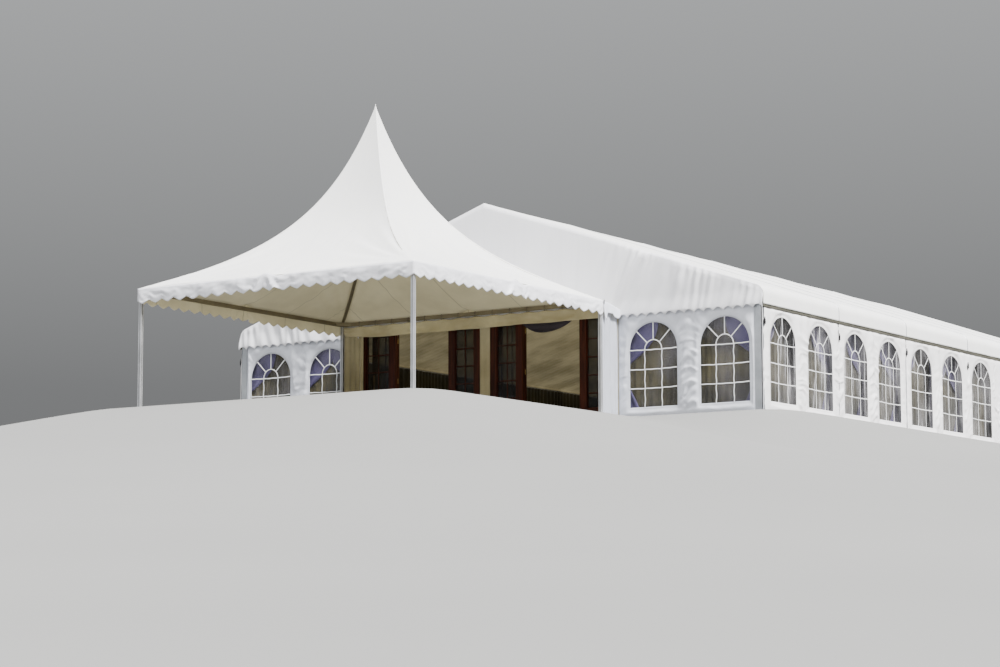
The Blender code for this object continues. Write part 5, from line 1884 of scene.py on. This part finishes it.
def keder_track():
    """Aluminium track over the roof at one portal, bent along the roof's section."""
    section, _ = roof_section()
    shape = Shape()
    half = TRACK_WIDTH / 2
    outline = ((-half, -0.001), (-half * 0.6, TRACK_PROUD), (half * 0.6, TRACK_PROUD), (half, -0.001))
    shape.skin([[(x + nx * up, y, z + nz * up) for y, up in outline] for x, z, nx, nz in section])
    return shape


def leg_grooves():
    """Keder grooves of one canopy leg, as dark strips: painted shade in the grooves."""
    groove = Shape()
    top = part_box("canopy_leg_front_right")[1].z - 0.01
    for axis in (0, 1):
        for side in (-1, 1):
            low, high = [-GROOVE_HALF, -GROOVE_HALF, GROOVE_FOOT_Z], [GROOVE_HALF, GROOVE_HALF, top]
            low[axis], high[axis] = sorted((side * (LEG_HALF - 0.001), side * (LEG_HALF + 0.0012)))
            groove.bar(low, high, 0.0005)
    return groove


def anchor_bolts(xs, ys, washer, head, rise):
    """Bolts through a foot plate: a round washer and a six-sided head at each place."""
    steel = Shape()
    washer = ((washer[0], 0.0), (washer[0], WASHER_THICKNESS), (washer[1], WASHER_THICKNESS))
    head = ((head[0], 0.0), (head[0], rise), (head[1], rise + 0.002))
    for x in xs:
        for y in ys:
            steel.turned(washer, (x, y, PLATE_TOP_Z), "Z", 12)
            steel.turned(head, (x, y, PLATE_TOP_Z + WASHER_THICKNESS), "Z", 6)
    return steel


def corner_loop(x, y, z, side):
    """Small dark ring and hook that hold the canopy's corner down to its leg."""
    shape = Shape()
    ring = [(x + side * 0.004, y + 0.016 * cos, z + 0.020 * sin) for cos, sin in circle(12)]
    shape.tube(ring, 0.0045, 6, closed=True)
    shape.bar((x - 0.004, y - 0.012, z - 0.055), (x + 0.004, y + 0.012, z - 0.018), 0.002)
    return shape


def make_small_parts():
    """Strips, ratchets, tracks, grooves, bolts and corner loops."""
    portals = [(0.0, BAY * number, 0.0) for number in range(PORTALS)]
    for label, side in SIDES:
        row_piece(f"post_strips_{label}", side_post_strip(side), portals, "alloy")
        row_piece(f"ratchets_{label}", ratchet(side), portals, "steel")
    row_piece("keder_tracks", keder_track(), portals[1:-1], "alloy")
    legs = []
    for corner in ("front_left", "front_right", "back_left", "back_right"):
        low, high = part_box(f"canopy_leg_{corner}")
        legs.append(((low.x + high.x) / 2, (low.y + high.y) / 2, 0.0))
    row_piece("leg_grooves", leg_grooves(), legs, "groove")
    bolts = anchor_bolts(LEG_BOLT_PLACES, LEG_BOLT_PLACES, *LEG_BOLT)
    row_piece("leg_bolts", bolts, legs, "steel")
    xs = [side * (LEG_OUT - inset) for side in (-1, 1) for inset in PORTAL_BOLT_INSETS]
    bolts = anchor_bolts(xs, PORTAL_BOLT_PLACES, *PORTAL_BOLT)
    row_piece("portal_bolts", bolts, portals, "steel")
    for label, side in SIDES:
        loop = corner_loop(side * (CANOPY_HALF + 0.012), RING_HIGH.y + 0.002, CANOPY_EAVE_Z - 0.01, side)
        rigid_piece(f"corner_loop_{label}", loop.mesh("loop"), "steel")


# Plum swag inside the right doorway


PLUM_LEFT = 0.86
PLUM_RIGHT = 2.06
PLUM_LOW_X = 1.37
PLUM_TOP_Z = 2.00
PLUM_BAND = 0.03
PLUM_DROOP = 0.25
PLUM_FOLD = 0.014
PLUM_ROWS = 12
PLUM_COLUMNS = 44


def plum_swag():
    """Short swag of plum cloth that droops from the header over the right doorway."""
    wide = PLUM_RIGHT - PLUM_LEFT

    def spot(i, j):
        x = PLUM_LEFT + wide * j / PLUM_COLUMNS
        drop = i / PLUM_ROWS
        reach = (x - PLUM_LOW_X) / (PLUM_LOW_X - PLUM_LEFT if x < PLUM_LOW_X else PLUM_RIGHT - PLUM_LOW_X)
        depth = PLUM_BAND + PLUM_DROOP * (1.0 - reach * reach) ** 0.8
        fold = PLUM_FOLD * math.sin(drop * 15.0 - abs(reach) * 4.0) * (1.0 - 0.7 * abs(reach))
        return (x, DOOR_LOW.y - 0.040 - 0.02 * drop - fold, PLUM_TOP_Z - depth * drop), (x, drop * depth)

    points, cut = grid(PLUM_ROWS, PLUM_COLUMNS, spot)
    piece = sheet_piece("plum_swag", points, cut, "drape", thickness=CLOTH_THICKNESS)
    fitted(piece, "curtain_voile")
    area = cloth_area(points)


# Assembly


# how the walls are cut, and how far in the curtains hang
SIDE_WALLS = 3
BAYS_A_WALL = BAYS // SIDE_WALLS
FRONT_WINDOWS = 2
BACK_WINDOWS = 8
CURTAIN_IN = 0.020
SIDE_SWAG_IN = 0.046
GABLE_SWAG_IN = 0.014


def side_windows_of(bay_from, bay_to):
    """Middles of a side wall's windows from one bay to another."""
    count = round((bay_to - bay_from) * BAY / WINDOW_STEP)
    return [bay_from * BAY + WINDOW_STEP * (i + 0.5) for i in range(count)]


def make_marquee():
    """Roof, gables and the two long walls with their windows and curtains."""
    for number in range(1, BAYS + 1):
        roof_cover(number)
    gable_cover("front", "gable_sheet_front", GABLE_OUT, -1)
    gable_cover("back", "gable_sheet_back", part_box("gable_sheet_back")[1].y, 1)
    for label, side in SIDES:
        for number in range(1, SIDE_WALLS + 1):
            windows = side_windows_of((number - 1) * BAYS_A_WALL, number * BAYS_A_WALL)
            name, node = f"wall_{label}_{number}", f"side_wall_{label}_{number}"
            wall_piece(name, windows, 1, side_place(side, WALL_OUT), node, "side_wall")
        windows = side_windows_of(0, BAYS)
        film_place = side_place(side, SIDE_FILM_OUT)
        film_for(f"window_film_{label}", windows, film_place, f"side_windows_{label}", "side_film")
        bars_for(f"window_bars_{label}", windows, film_place)
        node = f"side_curtains_{label}"
        near = min(abs(corner.x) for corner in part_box(node))
        pleated(f"curtain_{label}", 1, side_place(side, near + CURTAIN_IN), node, "side_curtain")
        swags_for(f"swag_{label}", windows, side_place(side, near + SIDE_SWAG_IN), SIDE_SWAGS, "side_swag")


def make_gable_walls():
    """The walls beside the doors and across the back, with their windows and curtains."""
    for label, side in SIDES:
        steps = [GABLE_WINDOW_STEP * (i + 0.5) for i in range(FRONT_WINDOWS)]
        windows = sorted(side * (GABLE_BAY + step) for step in steps)
        wall_place, film_place = gable_place(GABLE_WALL_OUT, -1), gable_place(GABLE_FILM_OUT, -1)
        wall_piece(f"wall_front_{label}", windows, 0, wall_place, f"front_wall_{label}", "front_wall")
        film_for(f"window_film_front_{label}", windows, film_place, f"front_windows_{label}")
        bars_for(f"window_bars_front_{label}", windows, film_place)
        node = f"front_curtains_{label}"
        low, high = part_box(node)
        pleated(f"curtain_front_{label}", 0, gable_place(high.y - CURTAIN_IN, -1), node)
        swag_place = gable_place(low.y + GABLE_SWAG_IN, -1)
        swags_for(f"swag_front_{label}", windows, swag_place, FRONT_SWAGS[label])
    windows = [-LEG_OUT + GABLE_WINDOW_STEP * (i + 0.5) for i in range(BACK_WINDOWS)]
    # the back wall takes the same painted shade tone as the front walls
    wall_piece("wall_back", windows, 0, gable_place(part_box("back_wall")[1].y, 1), "back_wall", "front_wall")
    film_place = gable_place(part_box("back_windows")[1].y, 1)
    film_for("window_film_back", windows, film_place, "back_windows")
    bars_for("window_bars_back", windows, film_place)
    low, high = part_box("back_curtains")
    pleated("curtain_back", 0, gable_place(low.y + CURTAIN_IN, 1), "back_curtains")
    swags_for("swag_back", windows, gable_place(high.y - GABLE_SWAG_IN, 1))


def make_canopy():
    """The canopy and what links it to the gable."""
    canopy_cover()
    for number, label in enumerate(("front", "right", "back", "left")):
        canopy_valance(number, label)
    link_gutter()
    back_flap()
    for make in (link_panel, link_valance):
        for label, side in SIDES:
            make(label, side)


HINGE_FACE_AREA = 0.003


def coat_hinges(node):
    """Brass on the small faces round each hinge's axis."""
    node.data.materials.append(FINISHES["brass"])
    axes = [Vector(place) for place in JOINTS.values()]
    reach = HINGE_PLATE + 0.002
    for face in node.data.polygons:
        middle = node.matrix_world @ face.center
        for axis in axes:
            near = abs(middle.x - axis.x) < reach and abs(middle.y - axis.y) < HINGE_RADIUS + 0.004
            if near and face.area < HINGE_FACE_AREA:
                face.material_index = 1


FRAME_COATS = (
    ("eave_rail", "rail"),
    ("door_", "wood"),
    ("canopy_leg", "post"),
    ("canopy_eave_frame", "khaki_shaded_alloy"),
    ("canopy_hip_frame", "khaki_shaded_alloy"),
)


def coat_frame():
    """Finishes of the solids that show as they are."""
    for name, node in frame["nodes"].items():
        if node.hide_render:
            continue
        finish = next((coat for start, coat in FRAME_COATS if name.startswith(start)), "alloy")
        node.data.materials.clear()
        node.data.materials.append(FINISHES[finish])
        if finish == "wood":
            coat_hinges(node)


make_camera()
make_floor()
make_light()
make_marquee()
make_gable_walls()
roof_lining()
make_canopy()
centre_wall()
make_doors()
plum_swag()
make_small_parts()
coat_frame()
